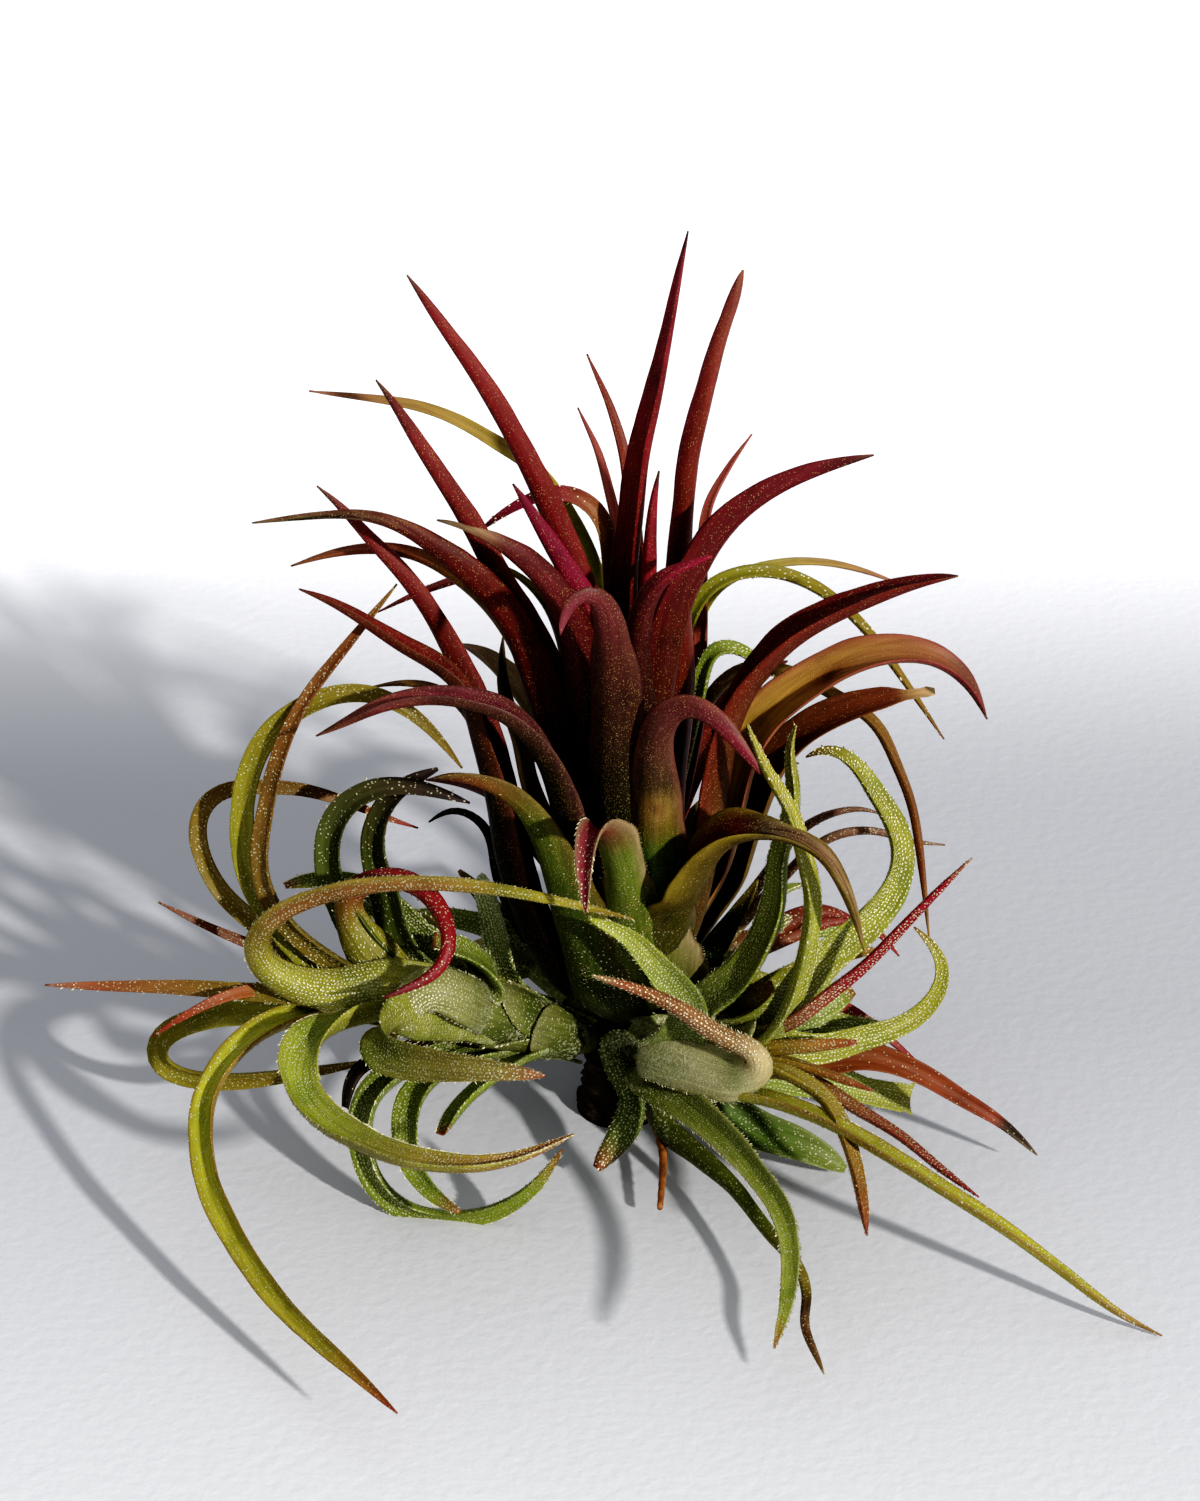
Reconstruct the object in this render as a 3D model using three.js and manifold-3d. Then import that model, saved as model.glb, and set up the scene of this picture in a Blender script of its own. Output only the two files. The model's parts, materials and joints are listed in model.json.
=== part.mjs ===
// A clump of a small air plant: one tall red rosette with offsets round its foot, and no soil or pot.
// Millimetres, +Z up. The origin is on the ground, under the middle of the short woody crown.
import * as THREE from "three";
import { mergeVertices } from "three/addons/utils/BufferGeometryUtils.js";
import Module from "manifold-3d";

const wasm = await Module();
wasm.setup();

// Driving dimensions, in millimetres.
const CLUMP_WIDTH = 89.4;
const CROWN_HEIGHT = 9.5;
const CROWN_RADIUS = 3.1;
const CROWN_FOOT_RADIUS = 3.7;
const BLADE_THICKNESS = 0.8;
const THIN_BLADE = 0.6;
const TIP_SIZE = 0.4;
const GAP = 0.36;
const GROUND_CLEARANCE = 0.3;

// The leaves were measured by eye in one picture of the plant, seen from in front and 30 degrees above.
// A place on a leaf is its pixel in that picture and how far in front of the crown's middle it lies.
const CLUMP_LEFT_PIXEL = 45;
const CLUMP_RIGHT_PIXEL = 1162;
const ORIGIN_PIXEL = [620, 1105];
const CENTRE_PIXEL = [600, 750.5];
const EYE_DISTANCE = 450;
const EYE_PITCH = THREE.MathUtils.degToRad(30);
const PIXELS_PER_MM = (CLUMP_RIGHT_PIXEL - CLUMP_LEFT_PIXEL) / CLUMP_WIDTH;

// Where the line of sight through the picture's centre passes the origin.
const AIM = new THREE.Vector3(
  (CENTRE_PIXEL[0] - ORIGIN_PIXEL[0]) / PIXELS_PER_MM,
  ((ORIGIN_PIXEL[1] - CENTRE_PIXEL[1]) / PIXELS_PER_MM) * Math.sin(EYE_PITCH),
  ((ORIGIN_PIXEL[1] - CENTRE_PIXEL[1]) / PIXELS_PER_MM) * Math.cos(EYE_PITCH),
);

// The point seen at pixel x, y that lies so many millimetres in front of the crown's middle.
function seen(x, y, forward) {
  const right = x - CENTRE_PIXEL[0];
  const up = CENTRE_PIXEL[1] - y;
  const rise = (up * Math.sin(EYE_PITCH)) / PIXELS_PER_MM;
  const nearer = (AIM.y + forward + rise) / (Math.cos(EYE_PITCH) + rise / EYE_DISTANCE);
  const scale = (1 - nearer / EYE_DISTANCE) / PIXELS_PER_MM;
  const height = AIM.z + nearer * Math.sin(EYE_PITCH) + up * Math.cos(EYE_PITCH) * scale;
  return new THREE.Vector3(AIM.x + right * scale, -forward, Math.max(height, GROUND_CLEARANCE));
}

// Each head is a short stem, from its foot to its growing point, in the same kind of places.
const HEADS = {
  main: { foot: [626, 1008, 0], point: [632, 925, 0], radius: 2.4, sheath: 6.6, sheath_length: 8 },
  left: { foot: [585, 1040, 3], point: [440, 998, 9], radius: 2.3, sheath: 4.2, sheath_length: 14 },
  right: { foot: [640, 1052, 5], point: [752, 1046, 12], radius: 2.2, sheath: 4, sheath_length: 11 },
  back_right: { foot: [645, 1010, -3], point: [745, 940, -9], radius: 1.8, sheath: 3.2, sheath_length: 5 },
  back_left: { foot: [600, 1010, -3], point: [500, 925, -10], radius: 1.8, sheath: 3.2, sheath_length: 5 },
};

// The leaves of each head, the oldest and outermost first. A row is the leaf's name, its look,
// its width in the middle in millimetres, how far forward it lies at even steps from base to tip,
// and the pixels that its midline passes.
const MAIN_LEAVES = [
  ["front_folded", "green", 4.9, [8.5, 9.5, 11, 16, 18],
    [[635, 980], [628, 920], [618, 865], [606, 835], [595, 829], [589, 850], [587, 880],
      [586, 913]]],
  ["front_left_broad", "green", 4.6, [7.5, 8.5, 9, 9.5, 10.5],
    [[585, 1000], [575, 960], [560, 910], [548, 870], [535, 835], [515, 805], [490, 788],
      [460, 779], [432, 779]]],
  ["left_low_arch", "olive", 3.3, [2, 2.5, 3, 3, 3],
    [[555, 980], [525, 930], [500, 860], [490, 800], [475, 740], [460, 692], [435, 668],
      [400, 648], [365, 624], [330, 603], [299, 589]]],
  ["left_slender", "red", 2.8, [-0.5, 0, 0.5, 1, 1.5],
    [[560, 975], [530, 920], [510, 850], [498, 790], [485, 740], [470, 695], [452, 660],
      [431, 620], [404, 580], [368, 540], [340, 508], [317, 486]]],
  ["right_folded", "green", 4.6, [8, 9.5, 11, 12.5, 13.5, 14],
    [[660, 960], [690, 905], [715, 858], [735, 838], [765, 834], [800, 842], [822, 856],
      [838, 880], [852, 912], [864, 950]]],
  ["right_broken", "olive", 3.8, [-2, -2, -1.5, -1],
    [[735, 880], [750, 840], [765, 800], [780, 765], [800, 740], [825, 721], [860, 707],
      [900, 697], [935, 692]]],
  ["right_orange", "orange", 4.9, [1, 1, 1, 1.5, 2],
    [[715, 880], [735, 820], [745, 770], [760, 735], [785, 708], [820, 684], [860, 663],
      [900, 656], [935, 661], [965, 683], [987, 719]]],
  ["right_maroon", "maroon", 4.6, [4, 4, 4, 5, 6],
    [[690, 940], [715, 850], [725, 790], [733, 740], [748, 700], [770, 668], [800, 639],
      [840, 616], [880, 599], [920, 585], [958, 576]]],
  ["left_arch", "olive", 3.5, [5, 6, 7, 8, 9],
    [[600, 930], [565, 850], [553, 800], [540, 760], [520, 733], [500, 716], [460, 703],
      [420, 701], [380, 709], [340, 727], [316, 736]]],
  ["front_right_drooping", "maroon", 4.9, [8, 9, 10, 12, 14],
    [[665, 930], [655, 870], [655, 800], [655, 750], [667, 722], [690, 710], [712, 722],
      [735, 745], [760, 774]]],
  ["front_left_drooping", "maroon", 4.9, [7, 8, 9, 11, 13],
    [[620, 930], [613, 830], [610, 760], [610, 700], [606, 650], [600, 610], [588, 594],
      [573, 605], [560, 635]]],
  ["left_dead_end", "maroon", 3.2, [3, 3.5, 4.5, 5, 5],
    [[550, 740], [530, 680], [515, 640], [485, 597], [445, 560], [405, 531], [375, 519],
      [345, 515], [300, 518], [252, 523]]],
  ["left_olive_thin", "olive", 2, [-1.5, -1.5, -2, -2],
    [[530, 700], [515, 650], [485, 605], [450, 575], [415, 556], [375, 550], [330, 555],
      [291, 566]]],
  ["left_shrivelled", "maroon", 3.2, [4, 5, 6, 7],
    [[585, 760], [580, 680], [568, 625], [550, 592], [525, 565], [495, 543], [465, 528],
      [437, 520]]],
  ["left_red", "red", 3.5, [1, 1.5, 2.5, 3],
    [[560, 760], [552, 690], [530, 640], [495, 580], [464, 520], [439, 480], [414, 440],
      [390, 400], [376, 380]]],
  ["tall_left", "maroon", 3.9, [0, 0, 0, 0],
    [[610, 760], [590, 640], [573, 580], [545, 510], [511, 440], [477, 380], [436, 320],
      [407, 275]]],
  ["short_magenta", "red", 2.8, [2, 2.5, 3],
    [[590, 640], [585, 610], [565, 575], [545, 540], [525, 505], [513, 484]]],
  ["right_high", "maroon", 3.3, [3, 3.5, 3, 2.5],
    [[655, 790], [665, 705], [672, 660], [685, 610], [703, 570], [720, 540], [745, 513],
      [780, 489], [820, 472], [874, 455]]],
  ["tall_right", "orange", 4.9, [0.5, 0, -1, -2.5],
    [[678, 700], [678, 640], [680, 580], [683, 540], [687, 500], [691, 460], [700, 420],
      [710, 380], [721, 340], [735, 300], [743, 270]]],
  ["front_inner", "red", 2.9, [5, 6, 7, 7.5],
    [[643, 730], [636, 690], [636, 640], [646, 602], [665, 578], [690, 566], [712, 556]]],
  ["short_inner", "red", 1.9, [3, 3.5, 3.5],
    [[646, 590], [649, 540], [653, 500], [659, 471]]],
  ["tall_middle", "red", 4.3, [0, 1, 2, 2],
    [[634, 760], [634, 680], [632, 600], [633, 560], [638, 520], [644, 460], [657, 400],
      [668, 340], [679, 280], [688, 231]]],
];

const MAIN_BACK_LEAVES = [
  ["back_long_yellow", "yellow", 1.6, [-8, -10, -12, -14],
    [[612, 660], [605, 620], [592, 570], [575, 530], [555, 495], [530, 465], [500, 446],
      [460, 422], [420, 407], [380, 400], [340, 395], [309, 391]]],
  ["back_curl", "olive", 2.1, [-5, -6, -7, -8],
    [[612, 650], [608, 560], [600, 517], [580, 497], [558, 492], [530, 500], [505, 513],
      [478, 532]]],
  ["back_thin_orange", "orange", 1.6, [-3, -5, -6.5, -8],
    [[632, 560], [626, 480], [622, 450], [615, 425], [607, 400], [598, 380], [587, 354]]],
  ["back_thin_pink", "red", 1.3, [-6, -10, -16],
    [[618, 540], [610, 500], [604, 475], [597, 450], [588, 430], [578, 408]]],
  ["back_thin_right", "red", 1.4, [-5, -8, -12],
    [[700, 720], [703, 640], [708, 507], [720, 483], [735, 458], [752, 434]]],
  ["back_left_red", "red", 1.2, [-7, -9, -11, -12],
    [[560, 700], [525, 610], [490, 575], [455, 581], [410, 597], [378, 612]]],
  ["back_left_green", "green", 1.2, [-4, -5, -6, -7],
    [[570, 700], [560, 640], [545, 603], [515, 573], [480, 560]]],
  ["back_left_dead", "dry", 2.1, [-4, -4.5, -5],
    [[530, 800], [515, 735], [505, 710], [500, 680], [500, 660], [503, 637]]],
  ["back_left_olive", "olive", 1.3, [-5, -7, -8],
    [[500, 800], [480, 740], [460, 705], [430, 687], [400, 683], [372, 687]]],
  ["back_right_olive", "olive", 1.7, [-6, -8, -10, -10],
    [[700, 600], [730, 577], [762, 572], [795, 579], [830, 598], [860, 625], [885, 655],
      [910, 690], [944, 739]]],
  ["back_right_tan", "yellow", 1, [-10, -13, -16],
    [[690, 650], [715, 590], [745, 572], [780, 563], [820, 562], [860, 570], [903, 585]]],
  ["back_right_arch", "green", 1.8, [-4, -5, -6],
    [[700, 700], [715, 648], [735, 648], [760, 665], [790, 685]]],
  ["back_right_long", "yellow", 1.3, [-5, -6, -6, -5, -4],
    [[700, 720], [740, 672], [790, 675], [835, 698], [873, 723], [895, 765], [911, 806],
      [921, 867], [929, 937]]],
];

const LEFT_LEAVES = [
  ["front_arc", "yellow", 2.4, [8, 13.5, 18, 25, 32.5, 40, 47.5],
    [[330, 1010], [314, 1015], [281, 1025], [250, 1042], [227, 1066], [210, 1099], [206, 1137],
      [213, 1187], [237, 1238], [270, 1289], [314, 1336], [355, 1373], [397, 1413]]],
  ["ground_loop", "green", 2.4, [8, 11.5, 14, 15.3, 16, 17, 18],
    [[440, 1060], [400, 1075], [372, 1100], [366, 1140], [378, 1180], [405, 1205], [445, 1217],
      [490, 1210], [530, 1188], [562, 1150]]],
  ["ground_hook", "green", 2.2, [8, 13, 17, 21],
    [[470, 1060], [430, 1082], [411, 1108], [409, 1140], [416, 1170], [435, 1195], [460, 1212]]],
  ["under_stub", "green", 1.5, [8, 11, 15],
    [[520, 1060], [485, 1085], [460, 1108], [443, 1135]]],
  ["front_loop", "furry", 3.2, [10, 16, 23, 30, 32, 29],
    [[400, 1012], [381, 1016], [340, 1026], [309, 1044], [296, 1072], [299, 1097], [324, 1126],
      [363, 1148], [409, 1164], [454, 1169], [498, 1166], [536, 1154], [574, 1134]]],
  ["hairpin", "furry", 3, [9, 14, 19, 22, 22],
    [[480, 1010], [440, 1015], [400, 1018], [380, 1035], [388, 1055], [430, 1066], [490, 1070],
      [545, 1076]]],
  ["left_ring", "green", 2.3, [7, 1.5, 3, 5, 3],
    [[330, 1005], [280, 1012], [230, 1017], [190, 1025], [162, 1040], [160, 1060], [185, 1074],
      [230, 1078], [280, 1074], [330, 1067], [375, 1060]]],
  ["left_straight", "olive", 1.6, [9, 7, 5, 4],
    [[330, 1000], [270, 995], [200, 990], [150, 988], [100, 987], [45, 985]]],
  ["left_orange", "orange", 1.2, [10, 10, 10],
    [[330, 990], [290, 985], [262, 990], [240, 992], [210, 1002], [180, 1018], [153, 1036]]],
  ["left_dark", "red", 1.1, [8, 5, 3],
    [[350, 980], [300, 965], [256, 947], [220, 932], [190, 918], [158, 902]]],
  ["over_arch", "furry", 3, [11, 9.5, 10, 12, 14, 15.5],
    [[385, 985], [340, 992], [295, 985], [263, 965], [257, 945], [275, 920], [310, 903],
      [360, 890], [430, 886], [500, 892], [560, 903], [633, 919]]],
  ["red_curl", "red_curl", 3, [9, 7, 8, 13, 16],
    [[400, 985], [370, 950], [350, 920], [348, 900], [365, 886], [395, 880], [425, 893],
      [443, 920], [448, 945], [437, 970], [412, 985], [383, 998]]],
  ["big_arch", "olive", 2.2, [7, 5, 4, 3, 3],
    [[340, 975], [270, 905], [252, 870], [246, 820], [250, 780], [265, 742], [295, 712],
      [335, 695], [375, 695], [410, 712], [438, 738], [462, 768]]],
  ["back_arch", "olive", 1.6, [6, 3, 1, 0, -1.5],
    [[330, 980], [262, 925], [225, 893], [203, 855], [197, 825], [207, 799], [230, 787],
      [265, 786], [300, 788], [345, 801], [385, 817], [418, 828]]],
  ["long_rust", "orange", 1.6, [8, 7, 6, 5, 2, 0],
    [[360, 975], [320, 950], [290, 925], [270, 895], [262, 860], [266, 820], [275, 775],
      [288, 735], [308, 697], [335, 662], [362, 628], [383, 602], [397, 584]]],
  ["dark_loop", "olive", 2.3, [7, 5.5, 5, 5, 6],
    [[385, 960], [345, 900], [332, 865], [335, 825], [352, 800], [380, 786], [410, 785],
      [440, 792], [470, 803]]],
  ["inner_loop", "olive", 2.2, [6, 3, 2, 1.5],
    [[410, 955], [388, 885], [377, 850], [380, 820], [392, 798], [410, 783], [438, 769]]],
  ["back_blade", "green", 1.6, [2, 0, -2],
    [[420, 930], [370, 885], [340, 878], [310, 878], [285, 885]]],
  ["small_middle", "furry", 2.4, [12, 13, 14],
    [[470, 1000], [430, 985], [405, 1005], [400, 1030]]],
  ["small_upper", "green", 1.9, [7, 8, 8],
    [[500, 990], [470, 955], [432, 945]]],
  ["dead_stub", "dry", 1, [10, 12, 13],
    [[400, 1055], [362, 1066], [350, 1085], [347, 1108]]],
];

const RIGHT_LEAVES = [
  ["front_long", "green", 2.7, [10, 18, 26, 35, 45],
    [[653, 1079], [691, 1107], [730, 1142], [762, 1181], [784, 1219], [790, 1257], [787, 1299],
      [774, 1348]]],
  ["front_dead_tip", "olive", 2.2, [8, 14.5, 23, 32, 41.5],
    [[656, 1120], [691, 1152], [730, 1187], [768, 1235], [797, 1267], [806, 1296], [803, 1324],
      [824, 1374]]],
  ["foot_curl", "green", 3, [5, 8, 11, 12.5],
    [[612, 1040], [628, 1079], [637, 1104], [628, 1130], [597, 1169]]],
  ["right_long", "yellow", 2.3, [13, 17.5, 22, 26, 28.5, 30, 31.7],
    [[690, 1090], [760, 1100], [830, 1125], [900, 1165], [945, 1193], [1006, 1232], [1064, 1274],
      [1121, 1316], [1162, 1337]]],
  ["low_green", "green", 3, [8, 9, 10, 10.5],
    [[707, 1104], [755, 1133], [803, 1149], [845, 1170]]],
  ["right_cut", "green", 2.4, [6, 4, 3],
    [[770, 1072], [826, 1082], [872, 1094], [910, 1100]]],
  ["right_rust", "rust", 2.8, [9, 8, 8.5, 9.5, 10],
    [[790, 1062], [815, 1063], [865, 1056], [914, 1071], [960, 1098], [999, 1121], [1037, 1155]]],
  ["right_back_red", "red", 0.9, [4, 2, 2, 4],
    [[800, 1000], [842, 1006], [872, 1025], [899, 1048], [930, 1075]]],
  ["hairpin", "furry", 3.5, [9, 14, 17, 16.5, 15],
    [[640, 1045], [690, 1066], [735, 1078], [760, 1070], [749, 1050], [717, 1034], [679, 1008],
      [637, 989], [591, 975]]],
  ["up_left", "furry", 2.8, [9, 12, 12, 12, 12.5],
    [[640, 1048], [668, 1052], [685, 1035], [690, 1005], [672, 983], [653, 961], [628, 935],
      [588, 918]]],
  ["front_thin", "orange", 1.6, [15, 18, 23, 32],
    [[765, 1066], [793, 1079], [822, 1098], [841, 1130], [854, 1171], [867, 1235]]],
  ["right_short", "orange", 0.9, [14, 16, 18],
    [[774, 1059], [819, 1072], [873, 1091]]],
  ["right_red", "red", 1.5, [15, 18, 21, 24, 27],
    [[811, 1082], [853, 1109], [899, 1136], [937, 1167], [979, 1197]]],
  ["right_curl", "yellow", 2.3, [13, 11, 9, 7, 6, 5],
    [[765, 1044], [815, 1048], [861, 1036], [899, 1025], [930, 1002], [943, 971], [933, 945],
      [914, 927]]],
  ["right_small_brown", "orange", 1.1, [14.5, 15, 15.5],
    [[780, 1050], [810, 1048], [857, 1043]]],
  ["right_speckled", "red", 1.4, [13, 12, 11, 10],
    [[784, 1025], [826, 994], [865, 964], [899, 929], [937, 891], [972, 858]]],
  ["wide_loop", "yellow", 2.8, [12, 9, 6, 2, -1, -3, -4],
    [[770, 1020], [809, 969], [841, 940], [870, 915], [892, 883], [898, 850], [885, 815],
      [873, 797], [854, 765], [829, 749], [806, 757]]],
  ["knobby_front", "yellow", 1.9, [14, 12, 10.5, 9.5, 8.5],
    [[760, 1045], [785, 1010], [803, 950], [809, 896], [801, 861], [790, 815], [763, 767],
      [747, 724]]],
  ["knobby_back", "green", 2.2, [9, 8.5, 8, 7, 6],
    [[700, 1010], [735, 985], [765, 945], [782, 895], [782, 860], [795, 820], [796, 780],
      [790, 750], [796, 725]]],
  ["blade_upper", "green", 2, [8, 7, 5],
    [[760, 1030], [800, 1015], [850, 985]]],
  ["blade_left", "olive", 1.9, [7, 8, 8],
    [[717, 1012], [745, 1004], [777, 993]]],
];

const BACK_RIGHT_LEAVES = [
  ["purple_arch", "maroon", 1, [-9, -8, -7],
    [[760, 880], [796, 832], [817, 818], [841, 810], [868, 808], [883, 815]]],
  ["long_thin", "maroon", 0.9, [-9, -10, -11],
    [[770, 890], [815, 845], [841, 832], [880, 830], [905, 840], [945, 845]]],
  ["dark_green", "green", 1.6, [-6, -5, -4],
    [[700, 975], [721, 942], [747, 901], [758, 880]]],
  ["pink_blade", "orange", 1.7, [-9, -10, -11],
    [[780, 930], [815, 912], [853, 918]]],
  ["small_spike", "red", 0.9, [-9, -11, -12],
    [[790, 940], [840, 920], [875, 930], [899, 956]]],
];

const BACK_LEFT_LEAVES = [
  ["black_thin", "dry", 0.9, [-8, -9, -10],
    [[500, 880], [490, 830], [470, 812], [450, 808], [429, 822]]],
  ["dark_spike", "green", 1.2, [-9, -10, -11],
    [[495, 910], [475, 885], [459, 870]]],
];

// Leaves that grow where the picture doesn't reach: the name, the look, the width, the length,
// the compass direction seen from above (90 is straight back), and the climb above level at the
// base and at the tip.
const MAIN_HIDDEN = [
  ["far_1", "olive", 3.2, 32, 75, 46, -35],
  ["far_2", "green", 3.2, 32, 107, 46, -35],
  ["far_3", "olive", 3, 26, 52, 56, -15],
  ["far_4", "maroon", 3, 27, 134, 54, -20],
  ["far_5", "maroon", 3.2, 34, 62, 64, -10],
  ["far_6", "olive", 3.2, 36, 118, 64, -10],
  ["far_7", "maroon", 3.4, 42, 90, 66, -8],
  ["far_8", "red", 3, 38, 78, 76, 26],
  ["far_9", "red", 3, 38, 102, 76, 26],
  ["far_10", "maroon", 3.2, 42, 90, 80, 40],
];
const LEFT_HIDDEN = [
  ["far_1", "green", 1.9, 20, 100, 40, -30],
  ["far_2", "olive", 1.7, 22, 128, 30, -30],
  ["far_3", "green", 1.9, 18, 150, 50, -10],
];
const RIGHT_HIDDEN = [
  ["far_1", "green", 1.9, 18, 62, 40, -20],
  ["far_2", "olive", 1.8, 20, 38, 30, -20],
  ["far_3", "green", 1.9, 17, 18, 10, -20],
];

// The small offsets at the back each have a fan of such leaves. Every third one droops to the ground.
const FAN_LEAVES = 7;
const FAN_WIDTH = 1.9;
function fan(firstCompass, compassStep) {
  return Array.from({ length: FAN_LEAVES }, (_, i) => {
    const rank = i % 3;
    const length = 19 - 2 * rank;
    const baseClimb = 23 * rank - 9;
    const tipClimb = rank === 0 ? -50 : -20;
    return ["far_" + (i + 1), "green", FAN_WIDTH, length, firstCompass + compassStep * i, baseClimb, tipClimb];
  });
}
const BACK_RIGHT_HIDDEN = fan(5, 22);
const BACK_LEFT_HIDDEN = fan(62, 21);

// The value at a fraction from 0 to 1 along a list of evenly spaced values.
function along(values, fraction) {
  const place = fraction * (values.length - 1);
  const before = Math.min(Math.floor(place), values.length - 2);
  return THREE.MathUtils.lerp(values[before], values[before + 1], place - before);
}

// The places that a measured leaf passes, with the depth spread evenly over its length in the picture.
function measuredRoute(forward, pixels) {
  const reach = [0];
  for (let i = 1; i < pixels.length; i++) {
    const step = Math.hypot(pixels[i][0] - pixels[i - 1][0], pixels[i][1] - pixels[i - 1][1]);
    reach.push(reach[i - 1] + step);
  }
  return pixels.map(([x, y], i) => seen(x, y, along(forward, reach[i] / reach.at(-1))));
}

// A head's stem: its foot, its growing point and its direction.
function stemOf(head) {
  const foot = seen(...head.foot);
  const point = seen(...head.point);
  return { foot, point, direction: point.clone().sub(foot).normalize() };
}

// The places that a hidden leaf passes: it sets off at one climb and bends evenly to the other.
const HIDDEN_STEPS = 7;
function hiddenRoute(head, length, compass, baseClimb, tipClimb) {
  const stem = stemOf(head);
  const place = stem.foot.clone().lerp(stem.point, 0.5);
  const heading = THREE.MathUtils.degToRad(compass);
  const route = [];
  for (let i = 0; i < HIDDEN_STEPS; i++) {
    const degrees = THREE.MathUtils.lerp(baseClimb, tipClimb, i / (HIDDEN_STEPS - 1));
    const climb = THREE.MathUtils.degToRad(degrees);
    const level = Math.cos(climb);
    const step = new THREE.Vector3(level * Math.cos(heading), level * Math.sin(heading), Math.sin(climb));
    place.addScaledVector(step, length / HIDDEN_STEPS);
    place.z = Math.max(place.z, GROUND_CLEARANCE);
    route.push(place.clone());
  }
  return route;
}

// A leaf's whole midline, from inside the head's stem outward. Older leaves leave the stem lower down.
function midline(head, age, route) {
  const stem = stemOf(head);
  const start = stem.foot.clone().lerp(stem.point, age);
  const out = route[0].clone().sub(start);
  out.addScaledVector(stem.direction, -out.dot(stem.direction));
  if (out.length() > head.radius) out.setLength(head.radius);
  return new THREE.CatmullRomCurve3([start.add(out.multiplyScalar(0.6)), ...route]);
}

// Stations along the midline, closer together where the leaf is long or bends much. The channel of the
// leaf opens towards the stem at its base, and is carried along the midline without turning.
const STATION_SPACING = 14;
const STATION_TURN = THREE.MathUtils.degToRad(44);
const FEWEST_STATIONS = 5;
const MOST_STATIONS = 13;
const SURVEY_STEPS = 60;
const LAST_BUT_ONE = 0.93;
function stationsOf(curve, head) {
  const length = curve.getLength();
  const effort = [0];
  for (let i = 1; i <= SURVEY_STEPS; i++) {
    const before = curve.getTangentAt((i - 1) / SURVEY_STEPS);
    const turned = before.angleTo(curve.getTangentAt(i / SURVEY_STEPS)) / STATION_TURN;
    effort.push(effort[i - 1] + turned + length / SURVEY_STEPS / STATION_SPACING);
  }
  const count = THREE.MathUtils.clamp(Math.round(effort.at(-1)) + 1, FEWEST_STATIONS, MOST_STATIONS);
  const stem = stemOf(head);
  const middle = curve.getPointAt(0.55).sub(stem.foot);
  const outward = middle.addScaledVector(stem.direction, -middle.dot(stem.direction)).normalize();
  let face = stem.direction.clone().multiplyScalar(0.3).sub(outward);
  const stations = [];
  let survey = 0;
  for (let i = 0; i < count; i++) {
    const wanted = (effort.at(-1) * i) / (count - 2);
    while (survey < SURVEY_STEPS && effort[survey] < wanted) survey += 1;
    const u = i === count - 1 ? 1 : Math.min(survey / SURVEY_STEPS, LAST_BUT_ONE);
    const tangent = curve.getTangentAt(u);
    face = face.clone().addScaledVector(tangent, -face.dot(tangent)).normalize();
    stations.push({ u, at: curve.getPointAt(u), tangent, face, distance: u * length });
  }
  return stations;
}

// The cross-section is a channel. Each corner is its place across the leaf, from -1 to 1, and its side:
// -1 is the outer face, 1 the inner face, 0 the sharp edge of a leaf too narrow for a rim.
const NARROW_SECTION = [[-1, 0], [0, -1], [1, 0], [0, 1]];
const MIDDLE_SECTION = [[-1, -1], [0, -1], [1, -1], [1, 1], [0, 1], [-1, 1]];
const BROAD_SECTION = [[-1, -1], [-0.4, -1], [0.4, -1], [1, -1], [1, 1], [0.4, 1], [-0.4, 1], [-1, 1]];
const MIDDLE_FROM = 2.3;
const BROAD_FROM = 4.4;
const TAPER = 3;
const SHEATH_CHANNEL = 0.14;
const BLADE_CHANNEL = 0.42;
const EDGE_THINNING = 0.45;
const WIDEST_SHEATH = 1.7;

// A leaf that is grown for clearance grows more where its faces are sloped or its edge is sharp.
const FACE_GROWTH = 1.25;
const SHARP_EDGE_GROWTH = 2;

function sectionOf(width) {
  if (width >= BROAD_FROM) return BROAD_SECTION;
  return width >= MIDDLE_FROM ? MIDDLE_SECTION : NARROW_SECTION;
}

function bladeSolid(curve, head, width, grow) {
  const section = sectionOf(width);
  const stations = stationsOf(curve, head);
  const vertices = [];
  stations.forEach(({ u, at, tangent, face, distance }, row) => {
    const sheathed = Math.exp(-((distance / head.sheath_length) ** 2));
    const blade = Math.max(width * (1 - u ** TAPER), TIP_SIZE);
    const sheath = Math.min(head.sheath, WIDEST_SHEATH * width);
    const broad = THREE.MathUtils.lerp(blade, sheath, sheathed);
    const channel = THREE.MathUtils.lerp(BLADE_CHANNEL, SHEATH_CHANNEL, sheathed) * (broad - TIP_SIZE);
    const tipped = THREE.MathUtils.smoothstep(u, 0.9, 1);
    const bladeThickness = THREE.MathUtils.lerp(BLADE_THICKNESS, THIN_BLADE, u);
    const thick = THREE.MathUtils.lerp(bladeThickness, TIP_SIZE, tipped);
    const across = tangent.clone().cross(face);
    const end = row === 0 ? -grow : row === stations.length - 1 ? grow : 0;
    for (const [place, side] of section) {
      const halfThick = (thick * (1 - EDGE_THINNING * place ** 2)) / 2 + FACE_GROWTH * grow;
      const reach = broad / 2 + (side === 0 ? SHARP_EDGE_GROWTH : 1) * grow;
      const vertex = at.clone();
      vertex.addScaledVector(across, place * reach);
      vertex.addScaledVector(face, channel * place ** 2 + side * halfThick);
      vertex.addScaledVector(tangent, end);
      vertices.push(vertex.x, vertex.y, vertex.z);
    }
  });
  return solidOf(vertices, ribbonFaces(stations.length, section.length));
}

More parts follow.
